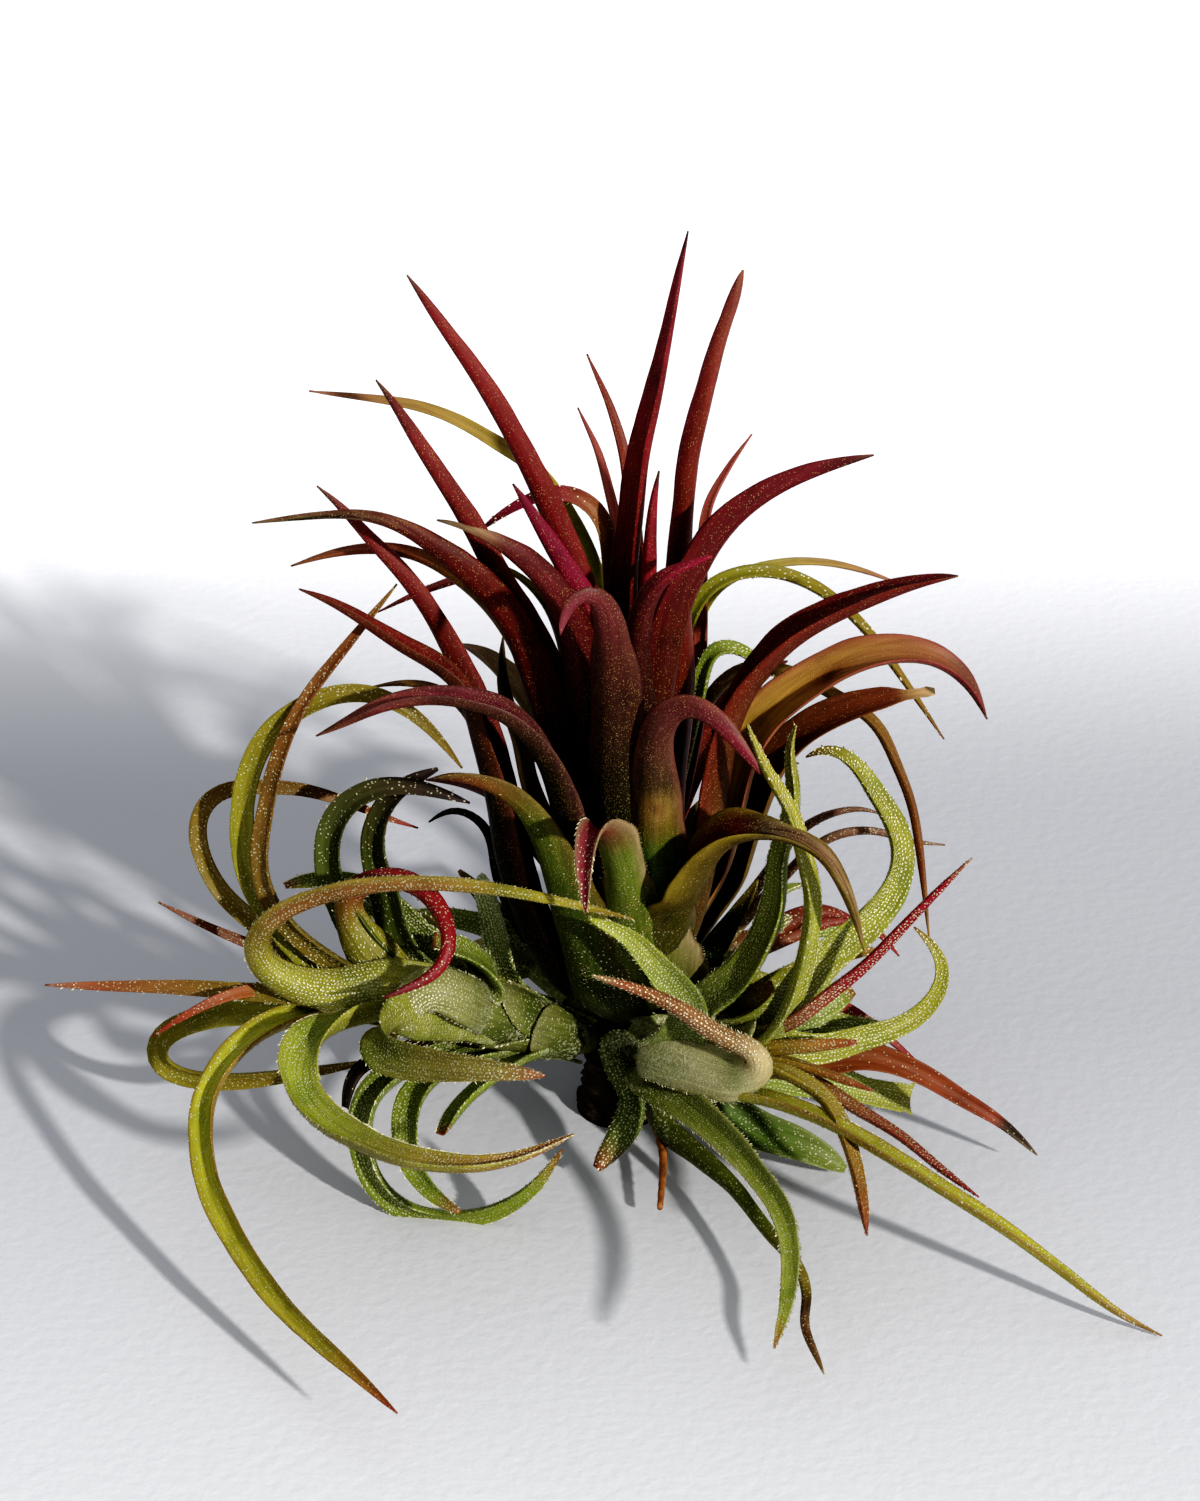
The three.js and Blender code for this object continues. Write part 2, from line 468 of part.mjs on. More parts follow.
// Triangles of a ribbon: both faces are split along the same diagonal, so that they can't cross.
function ribbonFaces(rows, ring) {
  const faces = [];
  const quad = (a, b, c, d) => faces.push(a, c, b, a, d, c);
  for (let row = 0; row < rows - 1; row++) {
    for (let i = 0; i < ring; i++) {
      const a = row * ring + i;
      const b = row * ring + ((i + 1) % ring);
      if (i < ring / 2) quad(a, b, b + ring, a + ring);
      else quad(b, b + ring, a + ring, a);
    }
  }
  const last = (rows - 1) * ring;
  let low = 0;
  let high = ring - 1;
  while (high - low >= 2) {
    faces.push(low, low + 1, high, last + low, last + high, last + low + 1);
    low += 1;
    if (high - low < 2) break;
    faces.push(low, high - 1, high, last + low, last + high, last + high - 1);
    high -= 1;
  }
  return faces;
}

function solidOf(vertices, faces) {
  const mesh = new wasm.Mesh({
    numProp: 3,
    vertProperties: new Float32Array(vertices),
    triVerts: new Uint32Array(faces),
  });
  return new wasm.Manifold(mesh);
}

// A three.js geometry as a solid.
function solidOfGeometry(geometry) {
  const bare = geometry.clone();
  bare.deleteAttribute("normal");
  bare.deleteAttribute("uv");
  const merged = mergeVertices(bare, 1e-4);
  return solidOf(merged.attributes.position.array, merged.index.array);
}

// A body of revolution round a stem, thickest in its middle, that the leaf bases are rooted in.
const CORE_SIDES = 8;
const CORE_RINGS = 5;
function coreSolid(head, grow) {
  const stem = stemOf(head);
  const radius = head.radius + grow;
  const halfLength = (stem.foot.distanceTo(stem.point) + head.radius) / 2 + grow;
  const outline = [];
  for (let i = 0; i <= CORE_RINGS; i++) {
    const angle = (Math.PI * i) / CORE_RINGS - Math.PI / 2;
    outline.push(new THREE.Vector2(radius * Math.cos(angle), halfLength * Math.sin(angle)));
  }
  outline[0].x = 0;
  outline[CORE_RINGS].x = 0;
  const geometry = new THREE.LatheGeometry(outline, CORE_SIDES);
  const turn = new THREE.Quaternion().setFromUnitVectors(new THREE.Vector3(0, 1, 0), stem.direction);
  geometry.applyQuaternion(turn);
  const middle = stem.foot.clone().lerp(stem.point, 0.5);
  geometry.translate(middle.x, middle.y, middle.z);
  return solidOfGeometry(geometry);
}

// The short woody crown: a ringed stump with a flat underside, from which every head grows.
const CROWN_SIDES = 10;
const CROWN_OUTLINE = [
  [0, 0], [1, 0], [1.06, 0.12], [0.92, 0.2], [1, 0.32], [0.86, 0.42], [0.94, 0.56],
  [0.8, 0.66], [0.84, 0.82], [0.6, 0.94], [0, 1],
];
function crownSolid(grow) {
  const outline = CROWN_OUTLINE.map(([across, up]) => {
    const radius = THREE.MathUtils.lerp(CROWN_FOOT_RADIUS, CROWN_RADIUS, up) * across;
    return new THREE.Vector2(across === 0 ? 0 : radius + grow, up * (CROWN_HEIGHT + grow));
  });
  const geometry = new THREE.LatheGeometry(outline, CROWN_SIDES);
  geometry.rotateX(Math.PI / 2);
  return solidOfGeometry(geometry);
}

// The one dry root that shows: it leaves the crown low down and ends on the ground.
const ROOT_PIXELS = [[640, 1100], [655, 1125], [663, 1150], [660, 1208]];
const ROOT_FORWARD = [4, 8, 12, 16.8];
const ROOT_RADIUS = 0.42;
const ROOT_SIDES = 7;
const ROOT_STEPS = 8;
function rootSolid(grow) {
  const section = new THREE.Shape().absarc(0, 0, ROOT_RADIUS + grow, 0, 2 * Math.PI);
  const extrudePath = new THREE.CatmullRomCurve3(measuredRoute(ROOT_FORWARD, ROOT_PIXELS));
  const options = { extrudePath, steps: ROOT_STEPS, curveSegments: ROOT_SIDES, bevelEnabled: false };
  return solidOfGeometry(new THREE.ExtrudeGeometry(section, options));
}

const LOOKS = {
  green: 0x7d8f3a,
  olive: 0x6f6a35,
  yellow: 0xa8a33a,
  furry: 0x9aa861,
  red: 0x9a3a30,
  red_curl: 0xa83328,
  maroon: 0x6a3030,
  orange: 0xb0692c,
  rust: 0x8e4522,
  dry: 0x8a7752,
  wood: 0x4a3524,
  root: 0x9a6a2c,
};

// Every leaf of a head as [name, look, width, curve]; older leaves come first and start lower down.
const YOUNGEST_START = 0.85;
function leavesOf(head, measured, hidden) {
  const rows = [
    ...hidden.map(([name, look, width, length, compass, baseClimb, tipClimb]) => [
      name, look, width, hiddenRoute(head, length, compass, baseClimb, tipClimb),
    ]),
    ...measured.map(([name, look, width, forward, pixels]) => [
      name, look, width, measuredRoute(forward, pixels),
    ]),
  ];
  return rows.map(([name, look, width, route], i) => [
    name, look, width, midline(head, (YOUNGEST_START * i) / rows.length, route),
  ]);
}

function union(solids) {
  return solids.reduce((joined, solid) => joined.add(solid));
}

// Pieces are added in order. Each one is cut clear of those before it, and keeps its largest body.
const group = new THREE.Group();
const clearances = [];
const SMOOTHING = 0.08;
function addPiece(name, look, build) {
  let solid = build(0);
  for (const clearance of clearances) {
    solid = solid.subtract(clearance);
  }
  solid = solid.trimByPlane([0, 0, 1], 0).simplify(SMOOTHING);
  const bodies = solid.decompose();
  bodies.sort((a, b) => b.volume() - a.volume());
  solid = bodies[0];
  clearances.push(build(GAP));
  const made = solid.getMesh();
  const geometry = new THREE.BufferGeometry();
  geometry.setAttribute("position", new THREE.BufferAttribute(made.vertProperties, 3));
  geometry.setIndex(new THREE.BufferAttribute(made.triVerts, 1));
  geometry.computeVertexNormals();
  const material = new THREE.MeshStandardMaterial({ color: LOOKS[look], roughness: 0.75, metalness: 0 });
  const mesh = new THREE.Mesh(geometry, material);
  mesh.name = name;
  group.add(mesh);
}

// One head whose leaves are all joined to its stem in one piece.
function addHead(name, look, head, measured, hidden) {
  const leaves = leavesOf(head, measured, hidden);
  addPiece(name, look, (grow) =>
    union([
      coreSolid(head, grow),
      ...leaves.map(([, , width, curve]) => bladeSolid(curve, head, width, grow)),
    ]),
  );
}

addPiece("crown", "wood", crownSolid);
addPiece("dry_root", "root", rootSolid);
addHead("main_heart", "olive", HEADS.main, MAIN_BACK_LEAVES, MAIN_HIDDEN);
for (const [name, look, width, curve] of leavesOf(HEADS.main, MAIN_LEAVES, []).reverse()) {
  addPiece("main_" + name, look, (grow) => bladeSolid(curve, HEADS.main, width, grow));
}
addHead("right_offset", "green", HEADS.right, RIGHT_LEAVES, RIGHT_HIDDEN);
addHead("left_offset", "green", HEADS.left, LEFT_LEAVES, LEFT_HIDDEN);
addHead("back_right_offset", "green", HEADS.back_right, BACK_RIGHT_LEAVES, BACK_RIGHT_HIDDEN);
addHead("back_left_offset", "olive", HEADS.back_left, BACK_LEFT_LEAVES, BACK_LEFT_HIDDEN);

export default group;
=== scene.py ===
# %% [markdown]
# # Dressing a small air plant
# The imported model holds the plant's true form in plain facets: a woody crown, a tall main rosette and
# four offsets. This lesson replaces each facet body by a finely sectioned leaf, colours it along its
# length, and covers it with the tiny white scales that drink for such a plant.
# Everything is placed by the same measured midlines as the facet bodies, so nothing needs fitting.

import json
import math

import bpy
import numpy as np
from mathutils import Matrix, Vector

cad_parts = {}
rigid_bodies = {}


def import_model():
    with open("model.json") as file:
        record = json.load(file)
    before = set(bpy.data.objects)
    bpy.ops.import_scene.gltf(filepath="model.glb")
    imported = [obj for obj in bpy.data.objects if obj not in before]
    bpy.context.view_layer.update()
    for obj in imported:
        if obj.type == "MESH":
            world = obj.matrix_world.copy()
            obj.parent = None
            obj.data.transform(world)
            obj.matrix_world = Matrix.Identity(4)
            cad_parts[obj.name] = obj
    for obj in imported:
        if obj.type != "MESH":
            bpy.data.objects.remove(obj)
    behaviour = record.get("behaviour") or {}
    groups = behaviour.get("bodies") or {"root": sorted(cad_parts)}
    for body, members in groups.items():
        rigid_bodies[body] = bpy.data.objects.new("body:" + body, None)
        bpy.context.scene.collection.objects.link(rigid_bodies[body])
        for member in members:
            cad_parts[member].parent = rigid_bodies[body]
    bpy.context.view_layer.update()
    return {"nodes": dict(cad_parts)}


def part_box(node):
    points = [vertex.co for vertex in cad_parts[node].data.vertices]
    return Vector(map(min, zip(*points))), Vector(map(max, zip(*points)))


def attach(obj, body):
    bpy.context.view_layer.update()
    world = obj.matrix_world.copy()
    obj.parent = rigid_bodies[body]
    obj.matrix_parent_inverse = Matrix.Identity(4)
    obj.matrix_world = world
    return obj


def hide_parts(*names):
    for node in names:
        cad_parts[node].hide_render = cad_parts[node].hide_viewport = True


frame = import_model()
MM = 0.001
print("nodes:", len(frame["nodes"]))

# %% [markdown]
# ## The picture's scale
# The leaves were measured in one picture, so a place on a leaf is a pixel and how far in front of
# the crown it lies. The clump's real width turns pixels into millimetres, and the height and pitch of
# the eye turn them into places in space. The camera further on uses the same eye.

# %% From a pixel to a place
CLUMP_WIDTH = 89.4
CLUMP_LEFT_PIXEL = 45
CLUMP_RIGHT_PIXEL = 1162
ORIGIN_PIXEL = (620, 1105)
PICTURE_SIZE = (1200, 1501)
CENTRE_PIXEL = (PICTURE_SIZE[0] / 2, PICTURE_SIZE[1] / 2)
EYE_DISTANCE = 450
EYE_PITCH = math.radians(30)
GROUND_CLEARANCE = 0.3
PIXELS_PER_MM = (CLUMP_RIGHT_PIXEL - CLUMP_LEFT_PIXEL) / CLUMP_WIDTH
AIM_ACROSS = (CENTRE_PIXEL[0] - ORIGIN_PIXEL[0]) / PIXELS_PER_MM
AIM_UP = (ORIGIN_PIXEL[1] - CENTRE_PIXEL[1]) / PIXELS_PER_MM
AIM = np.array([AIM_ACROSS, AIM_UP * math.sin(EYE_PITCH), AIM_UP * math.cos(EYE_PITCH)])


def seen(x, y, forward):
    """The point seen at a pixel, so many millimetres in front of the crown's middle."""
    right = x - CENTRE_PIXEL[0]
    up = CENTRE_PIXEL[1] - y
    rise = up * math.sin(EYE_PITCH) / PIXELS_PER_MM
    nearer = (AIM[1] + forward + rise) / (math.cos(EYE_PITCH) + rise / EYE_DISTANCE)
    scale = (1 - nearer / EYE_DISTANCE) / PIXELS_PER_MM
    height = AIM[2] + nearer * math.sin(EYE_PITCH) + up * math.cos(EYE_PITCH) * scale
    return np.array([AIM[0] + right * scale, -forward, max(height, GROUND_CLEARANCE)])


print("scale:", round(PIXELS_PER_MM, 2), "pixels per mm")

# %% [markdown]
# ## Camera
# The plant was photographed from in front and about thirty degrees above, from close by, so the leaves
# that reach forward look a little larger. The lens is worked out from the scale at the plant.

# %% Camera
SENSOR = 36
NEAREST_SEEN = 0.01
FARTHEST_SEEN = 20
camera_data = bpy.data.cameras.new("camera")
camera_data.sensor_width = SENSOR
camera_data.lens = SENSOR * EYE_DISTANCE * PIXELS_PER_MM / PICTURE_SIZE[1]
camera_data.clip_start = NEAREST_SEEN
camera_data.clip_end = FARTHEST_SEEN
camera = bpy.data.objects.new("camera", camera_data)
looking = np.array([0, math.cos(EYE_PITCH), -math.sin(EYE_PITCH)])
camera.location = Vector(AIM - EYE_DISTANCE * looking) * MM
camera.rotation_euler = (math.pi / 2 - EYE_PITCH, 0, 0)
bpy.context.collection.objects.link(camera)
bpy.context.scene.camera = camera
print("lens:", round(camera_data.lens, 1), "mm")

# %% [markdown]
# ## Paper
# The clump lies on a sheet of white paper. A plane does for the sheet, and a fine noise gives the grain.
# Its colour depends on how far back a point lies: painted shade makes it a darker cool grey near the plant,
# and painted light makes it so bright well behind it that its grain is lost, and gives it a light of its own
# there.

# %% Helpers for node trees
def link(tree, output, target):
    """Connect two sockets, or set the target where the output is a plain value."""
    if isinstance(output, bpy.types.NodeSocket):
        tree.links.new(output, target)
    else:
        target.default_value = output


def add_node(tree, kind, inputs=(), **settings):
    """A node with its settings, and its inputs given as (socket name or number, socket or value) pairs."""
    node = tree.nodes.new(kind)
    for name, value in settings.items():
        setattr(node, name, value)
    for socket, value in inputs:
        link(tree, value, node.inputs[socket])
    return node


def calculate(tree, operation, *values):
    """The output of a Math node."""
    return add_node(tree, "ShaderNodeMath", enumerate(values), operation=operation).outputs[0]


def remap(tree, value, low, high, new_low=0.0, new_high=1.0, smooth=False):
    """The output of a clamped Map Range node."""
    pairs = [("Value", value), ("From Min", low), ("From Max", high), ("To Min", new_low), ("To Max", new_high)]
    kind = "SMOOTHSTEP" if smooth else "LINEAR"
    return add_node(tree, "ShaderNodeMapRange", pairs, interpolation_type=kind).outputs["Result"]


def mix_colours(tree, factor, first, second, blend="MIX"):
    """The output of a colour Mix node."""
    node = add_node(tree, "ShaderNodeMix", data_type="RGBA", blend_type=blend)
    for name, value in (("Factor_Float", factor), ("A_Color", first), ("B_Color", second)):
        socket = next(s for s in node.inputs if s.identifier == name)
        link(tree, value, socket)
    return next(s for s in node.outputs if s.identifier == "Result_Color")


def linear(code):
    """A colour written as six hexadecimal digits, as the four linear values that a shader takes."""
    channels = [int(code[i:i + 2], 16) / 255 for i in (0, 2, 4)]
    return [c / 12.92 if c <= 0.04045 else ((c + 0.055) / 1.055) ** 2.4 for c in channels] + [1.0]


def new_material(name, roughness):
    """A material with a Principled shader of its own, and that shader."""
    material = bpy.data.materials.new(name)
    material.use_nodes = True
    shader = material.node_tree.nodes["Principled BSDF"]
    shader.inputs["Roughness"].default_value = roughness
    return material, material.node_tree, shader


def add_group(name, inputs, outputs):
    """An empty node group, with its input and output nodes."""
    tree = bpy.data.node_groups.new(name, "ShaderNodeTree")
    for socket, kind in inputs:
        tree.interface.new_socket(socket, in_out="INPUT", socket_type="NodeSocket" + kind)
    for socket in outputs:
        tree.interface.new_socket(socket, in_out="OUTPUT", socket_type="NodeSocketFloat")
    return tree, tree.nodes.new("NodeGroupInput"), tree.nodes.new("NodeGroupOutput")


def use_group(tree, group, inputs):
    """A group placed in a material, with its inputs given as (name, socket or value) pairs."""
    node = tree.nodes.new("ShaderNodeGroup")
    node.node_tree = group
    for socket, value in inputs:
        link(tree, value, node.inputs[socket])
    return node


def noise(tree, place, scale, detail=2.0):
    """The grey output of a Noise node."""
    pairs = [("Vector", place), ("Scale", scale), ("Detail", detail)]
    return add_node(tree, "ShaderNodeTexNoise", pairs).outputs[0]


def point_value(tree, name, output="Fac"):
    """What is stored on a mesh's points under a name."""
    return add_node(tree, "ShaderNodeAttribute", attribute_name=name).outputs[output]


def add_relief(tree, shader, height, strength, depth):
    """Shade a surface as if a height raised it, by up to so many metres."""
    bump = add_node(tree, "ShaderNodeBump", [("Height", height), ("Strength", strength), ("Distance", depth)])
    link(tree, bump.outputs[0], shader.inputs["Normal"])


# %% Paper
PAPER_HALF_SIDE = 1.5
PAPER_ROUGHNESS = 0.9
PAPER_GLOSS = 0.2
GRAINS_PER_METRE = 900.0
GRAIN_DEPTH = 0.0002
# Where the paper's painted shade and painted light begin and end, in metres back, and the painted light's
# strength.
PAINTED_GLOW_CAST = 0.1
PAINTED_GLOW_SEEN = 0.4
PAINTED_SHADE_FROM = -0.058
PAINTED_SHADE_BY = 0.014
PAINTED_LIGHT_FROM = 0.045
PAINTED_LIGHT_BY = 0.125


def paper_material():
    """Paper with painted shade near the plant and painted light, bright white and self-lit, well behind it."""
    material, tree, shader = new_material("paper", PAPER_ROUGHNESS)
    place = add_node(tree, "ShaderNodeTexCoord").outputs["Object"]
    back = add_node(tree, "ShaderNodeSeparateXYZ", [(0, place)]).outputs["Y"]
    # Painted shade makes the paper darker grey near the plant; painted light makes it white and self-lit
    # behind.
    dim = remap(tree, back, PAINTED_SHADE_FROM, PAINTED_SHADE_BY)
    bright = remap(tree, back, PAINTED_LIGHT_FROM, PAINTED_LIGHT_BY, smooth=True)
    colour = mix_colours(tree, dim, linear("dcdde0"), linear("b5b6bb"))
    colour = mix_colours(tree, bright, colour, linear("e6e6ea"))
    link(tree, colour, shader.inputs["Base Color"])
    painted_glow = mix_colours(tree, bright, [0.0, 0.0, 0.0, 1.0], linear("fdfdff"))
    link(tree, painted_glow, shader.inputs["Emission Color"])
    seen_by_eye = add_node(tree, "ShaderNodeLightPath").outputs["Is Camera Ray"]
    strength = remap(tree, seen_by_eye, 0.0, 1.0, PAINTED_GLOW_CAST, PAINTED_GLOW_SEEN)
    link(tree, strength, shader.inputs["Emission Strength"])
    shader.inputs["Specular IOR Level"].default_value = PAPER_GLOSS
    add_relief(tree, shader, noise(tree, place, GRAINS_PER_METRE, 3.0), 0.35, GRAIN_DEPTH)
    return material


paper_mesh = bpy.data.meshes.new("paper")
paper_corners = [(x * PAPER_HALF_SIDE, y * PAPER_HALF_SIDE, 0) for x, y in ((-1, -1), (1, -1), (1, 1), (-1, 1))]
paper_mesh.from_pydata(paper_corners, [], [(0, 1, 2, 3)])
paper_mesh.materials.append(paper_material())
paper = bpy.data.objects.new("paper", paper_mesh)
bpy.context.collection.objects.link(paper)
print("paper:", 2 * PAPER_HALF_SIDE, "m square")

# %% [markdown]
# ## Light
# One strong lamp stands low on the right and in front, so long soft shadows fall to the left and back.
# A bright room fills the shadows with a cool light, and a weak lamp from behind rims the leaves. A tone
# curve shows the deepest shadows almost black, as in the picture.

# %% Light
KEY_TRAVEL = (-1.42, 1.73, -1.0)
KEY_STRENGTH = 4.6
KEY_SPREAD = math.radians(2.5)
KEY_COLOUR = (1.0, 0.97, 0.93)
REAR_PLACE = (-0.35, 0.55, 0.5)
REAR_POWER = 0.4
REAR_SIZE = 0.4
ROOM_COLOUR = (0.93, 0.96, 1.0, 1.0)
ROOM_BRIGHT_UP = 0.9
ROOM_ABOVE = 0.78
ROOM_LEVEL = 0.05
ROOM_SEEN = 0.9
TONE = ((0.015, 0.002), (0.04, 0.014), (0.09, 0.06), (0.18, 0.165))


def aim_light(lamp, travel):
    """Turn a lamp so that its light travels in one direction."""
    lamp.rotation_euler = Vector(travel).to_track_quat("-Z", "Y").to_euler()


key_data = bpy.data.lights.new("key", "SUN")
key_data.energy = KEY_STRENGTH
key_data.angle = KEY_SPREAD
key_data.color = KEY_COLOUR
key = bpy.data.objects.new("key", key_data)
aim_light(key, KEY_TRAVEL)
bpy.context.collection.objects.link(key)

rear_data = bpy.data.lights.new("rear", "AREA")
rear_data.energy = REAR_POWER
rear_data.size = REAR_SIZE
rear = bpy.data.objects.new("rear", rear_data)
rear.location = REAR_PLACE
aim_light(rear, -rear.location)
bpy.context.collection.objects.link(rear)


def room_light():
    """A cool room that is bright overhead and dim at eye level. The eye itself sees it plain and pale."""
    world = bpy.data.worlds.new("room")
    world.use_nodes = True
    tree = world.node_tree
    background = tree.nodes["Background"]
    background.inputs["Color"].default_value = ROOM_COLOUR
    direction = add_node(tree, "ShaderNodeTexCoord").outputs["Generated"]
    up = add_node(tree, "ShaderNodeSeparateXYZ", [(0, direction)]).outputs["Z"]
    shining = remap(tree, up, 0.0, ROOM_BRIGHT_UP, ROOM_LEVEL, ROOM_ABOVE)
    seen_by_eye = add_node(tree, "ShaderNodeLightPath").outputs["Is Camera Ray"]
    strength = remap(tree, seen_by_eye, 0.0, 1.0, shining, ROOM_SEEN)
    link(tree, strength, background.inputs["Strength"])
    return world


bpy.context.scene.world = room_light()
view = bpy.context.scene.view_settings
view.view_transform = "Standard"
view.use_curve_mapping = True
for given, shown in TONE:
    view.curve_mapping.curves[3].points.new(given, shown)
view.curve_mapping.update()
print("lamps:", [lamp.name for lamp in (key, rear)])

# %% [markdown]
# ## Where the leaves grow
# A plant of this kind is a set of heads. Each head is a short stem with its leaves spiralled round it,
# the oldest lowest and outermost. A row below holds a leaf's name, its look, its width in the middle in
# millimetres, how far forward it lies at even steps from base to tip, and the pixels that it passes.

# %% Heads and their leaves
HEADS = {
    "main": {"foot": (626, 1008, 0), "point": (632, 925, 0), "radius": 2.4, "sheath": 6.6, "sheath_length": 8},
    "left": {"foot": (585, 1040, 3), "point": (440, 998, 9), "radius": 2.3, "sheath": 4.2, "sheath_length": 14},
    "right": {"foot": (640, 1052, 5), "point": (752, 1046, 12), "radius": 2.2, "sheath": 4,
              "sheath_length": 11},
    "back_right": {"foot": (645, 1010, -3), "point": (745, 940, -9), "radius": 1.8, "sheath": 3.2,
                   "sheath_length": 5},
    "back_left": {"foot": (600, 1010, -3), "point": (500, 925, -10), "radius": 1.8, "sheath": 3.2,
                  "sheath_length": 5},
}
MAIN_LEAVES = [
    ("front_folded", "folded_green", 4.9, (8.5, 9.5, 11, 16, 18),
     [(635, 980), (628, 920), (618, 865), (606, 835), (595, 829), (589, 850), (587, 880), (586, 913)]),
    ("front_left_broad", "broad_green", 4.6, (7.5, 8.5, 9, 9.5, 10.5),
     [(585, 1000), (575, 960), (560, 910), (548, 870), (535, 835), (515, 805), (490, 788), (460, 779),
      (432, 779)]),
    ("left_low_arch", "low_arch", 3.3, (2, 2.5, 3, 3, 3),
     [(555, 980), (525, 930), (500, 860), (490, 800), (475, 740), (460, 692), (435, 668), (400, 648),
      (365, 624), (330, 603), (299, 589)]),
    ("left_slender", "slender_red", 2.8, (-0.5, 0, 0.5, 1, 1.5),
     [(560, 975), (530, 920), (510, 850), (498, 790), (485, 740), (470, 695), (452, 660), (431, 620),
      (404, 580), (368, 540), (340, 508), (317, 486)]),
    ("right_folded", "folded_burnt", 4.6, (8, 9.5, 11, 12.5, 13.5, 14),
     [(660, 960), (690, 905), (715, 858), (735, 838), (765, 834), (800, 842), (822, 856), (838, 880),
      (852, 912), (864, 950)]),
    ("right_broken", "broken_orange", 3.8, (-2, -2, -1.5, -1),
     [(735, 880), (750, 840), (765, 800), (780, 765), (800, 740), (825, 721), (860, 707), (900, 697),
      (935, 692)]),
    ("right_orange", "orange_channel", 4.9, (1, 1, 1, 1.5, 2),
     [(715, 880), (735, 820), (745, 770), (760, 735), (785, 708), (820, 684), (860, 663), (900, 656),
      (935, 661), (965, 683), (987, 719)]),
    ("right_maroon", "maroon_arch", 4.6, (4, 4, 4, 5, 6),
     [(690, 940), (715, 850), (725, 790), (733, 740), (748, 700), (770, 668), (800, 639), (840, 616),
      (880, 599), (920, 585), (958, 576)]),
    ("left_arch", "speckled_arch", 3.5, (5, 6, 7, 8, 9),
     [(600, 930), (565, 850), (553, 800), (540, 760), (520, 733), (500, 716), (460, 703), (420, 701),
      (380, 709), (340, 727), (316, 736)]),
    ("front_right_drooping", "droop_green", 4.9, (8, 9, 10, 12, 14),
     [(665, 930), (655, 870), (655, 800), (655, 750), (667, 722), (690, 710), (712, 722), (735, 745),
      (760, 774)]),
    ("front_left_drooping", "droop_brown", 4.9, (7, 8, 9, 11, 13),
     [(620, 930), (613, 830), (610, 760), (610, 700), (606, 650), (600, 610), (588, 594), (573, 605),
      (560, 635)]),
    ("left_dead_end", "dead_end", 3.2, (3, 3.5, 4.5, 5, 5),
     [(550, 740), (530, 680), (515, 640), (485, 597), (445, 560), (405, 531), (375, 519), (345, 515),
      (300, 518), (252, 523)]),
    ("left_olive_thin", "thin_brown", 2, (-1.5, -1.5, -2, -2),
     [(530, 700), (515, 650), (485, 605), (450, 575), (415, 556), (375, 550), (330, 555), (291, 566)]),
    ("left_shrivelled", "shrivelled", 3.2, (4, 5, 6, 7),
     [(585, 760), (580, 680), (568, 625), (550, 592), (525, 565), (495, 543), (465, 528), (437, 520)]),
    ("left_red", "slender_red", 3.5, (1, 1.5, 2.5, 3),
     [(560, 760), (552, 690), (530, 640), (495, 580), (464, 520), (439, 480), (414, 440), (390, 400),
      (376, 380)]),
    ("tall_left", "maroon_tall", 3.9, (0, 0, 0, 0),
     [(610, 760), (590, 640), (573, 580), (545, 510), (511, 440), (477, 380), (436, 320), (407, 275)]),
    ("short_magenta", "magenta", 2.8, (2, 2.5, 3),
     [(590, 640), (585, 610), (565, 575), (545, 540), (525, 505), (513, 484)]),
    ("right_high", "maroon_high", 3.3, (3, 3.5, 3, 2.5),
     [(655, 790), (665, 705), (672, 660), (685, 610), (703, 570), (720, 540), (745, 513), (780, 489),
      (820, 472), (874, 455)]),
    ("tall_right", "rust_tall", 4.9, (0.5, 0, -1, -2.5),
     [(678, 700), (678, 640), (680, 580), (683, 540), (687, 500), (691, 460), (700, 420), (710, 380),
      (721, 340), (735, 300), (743, 270)]),
    ("front_inner", "magenta_fold", 2.9, (5, 6, 7, 7.5),
     [(643, 730), (636, 690), (636, 640), (646, 602), (665, 578), (690, 566), (712, 556)]),
    ("short_inner", "crimson", 1.9, (3, 3.5, 3.5),
     [(646, 590), (649, 540), (653, 500), (659, 471)]),
    ("tall_middle", "crimson", 4.3, (0, 1, 2, 2),
     [(634, 760), (634, 680), (632, 600), (633, 560), (638, 520), (644, 460), (657, 400), (668, 340),
      (679, 280), (688, 231)]),
]
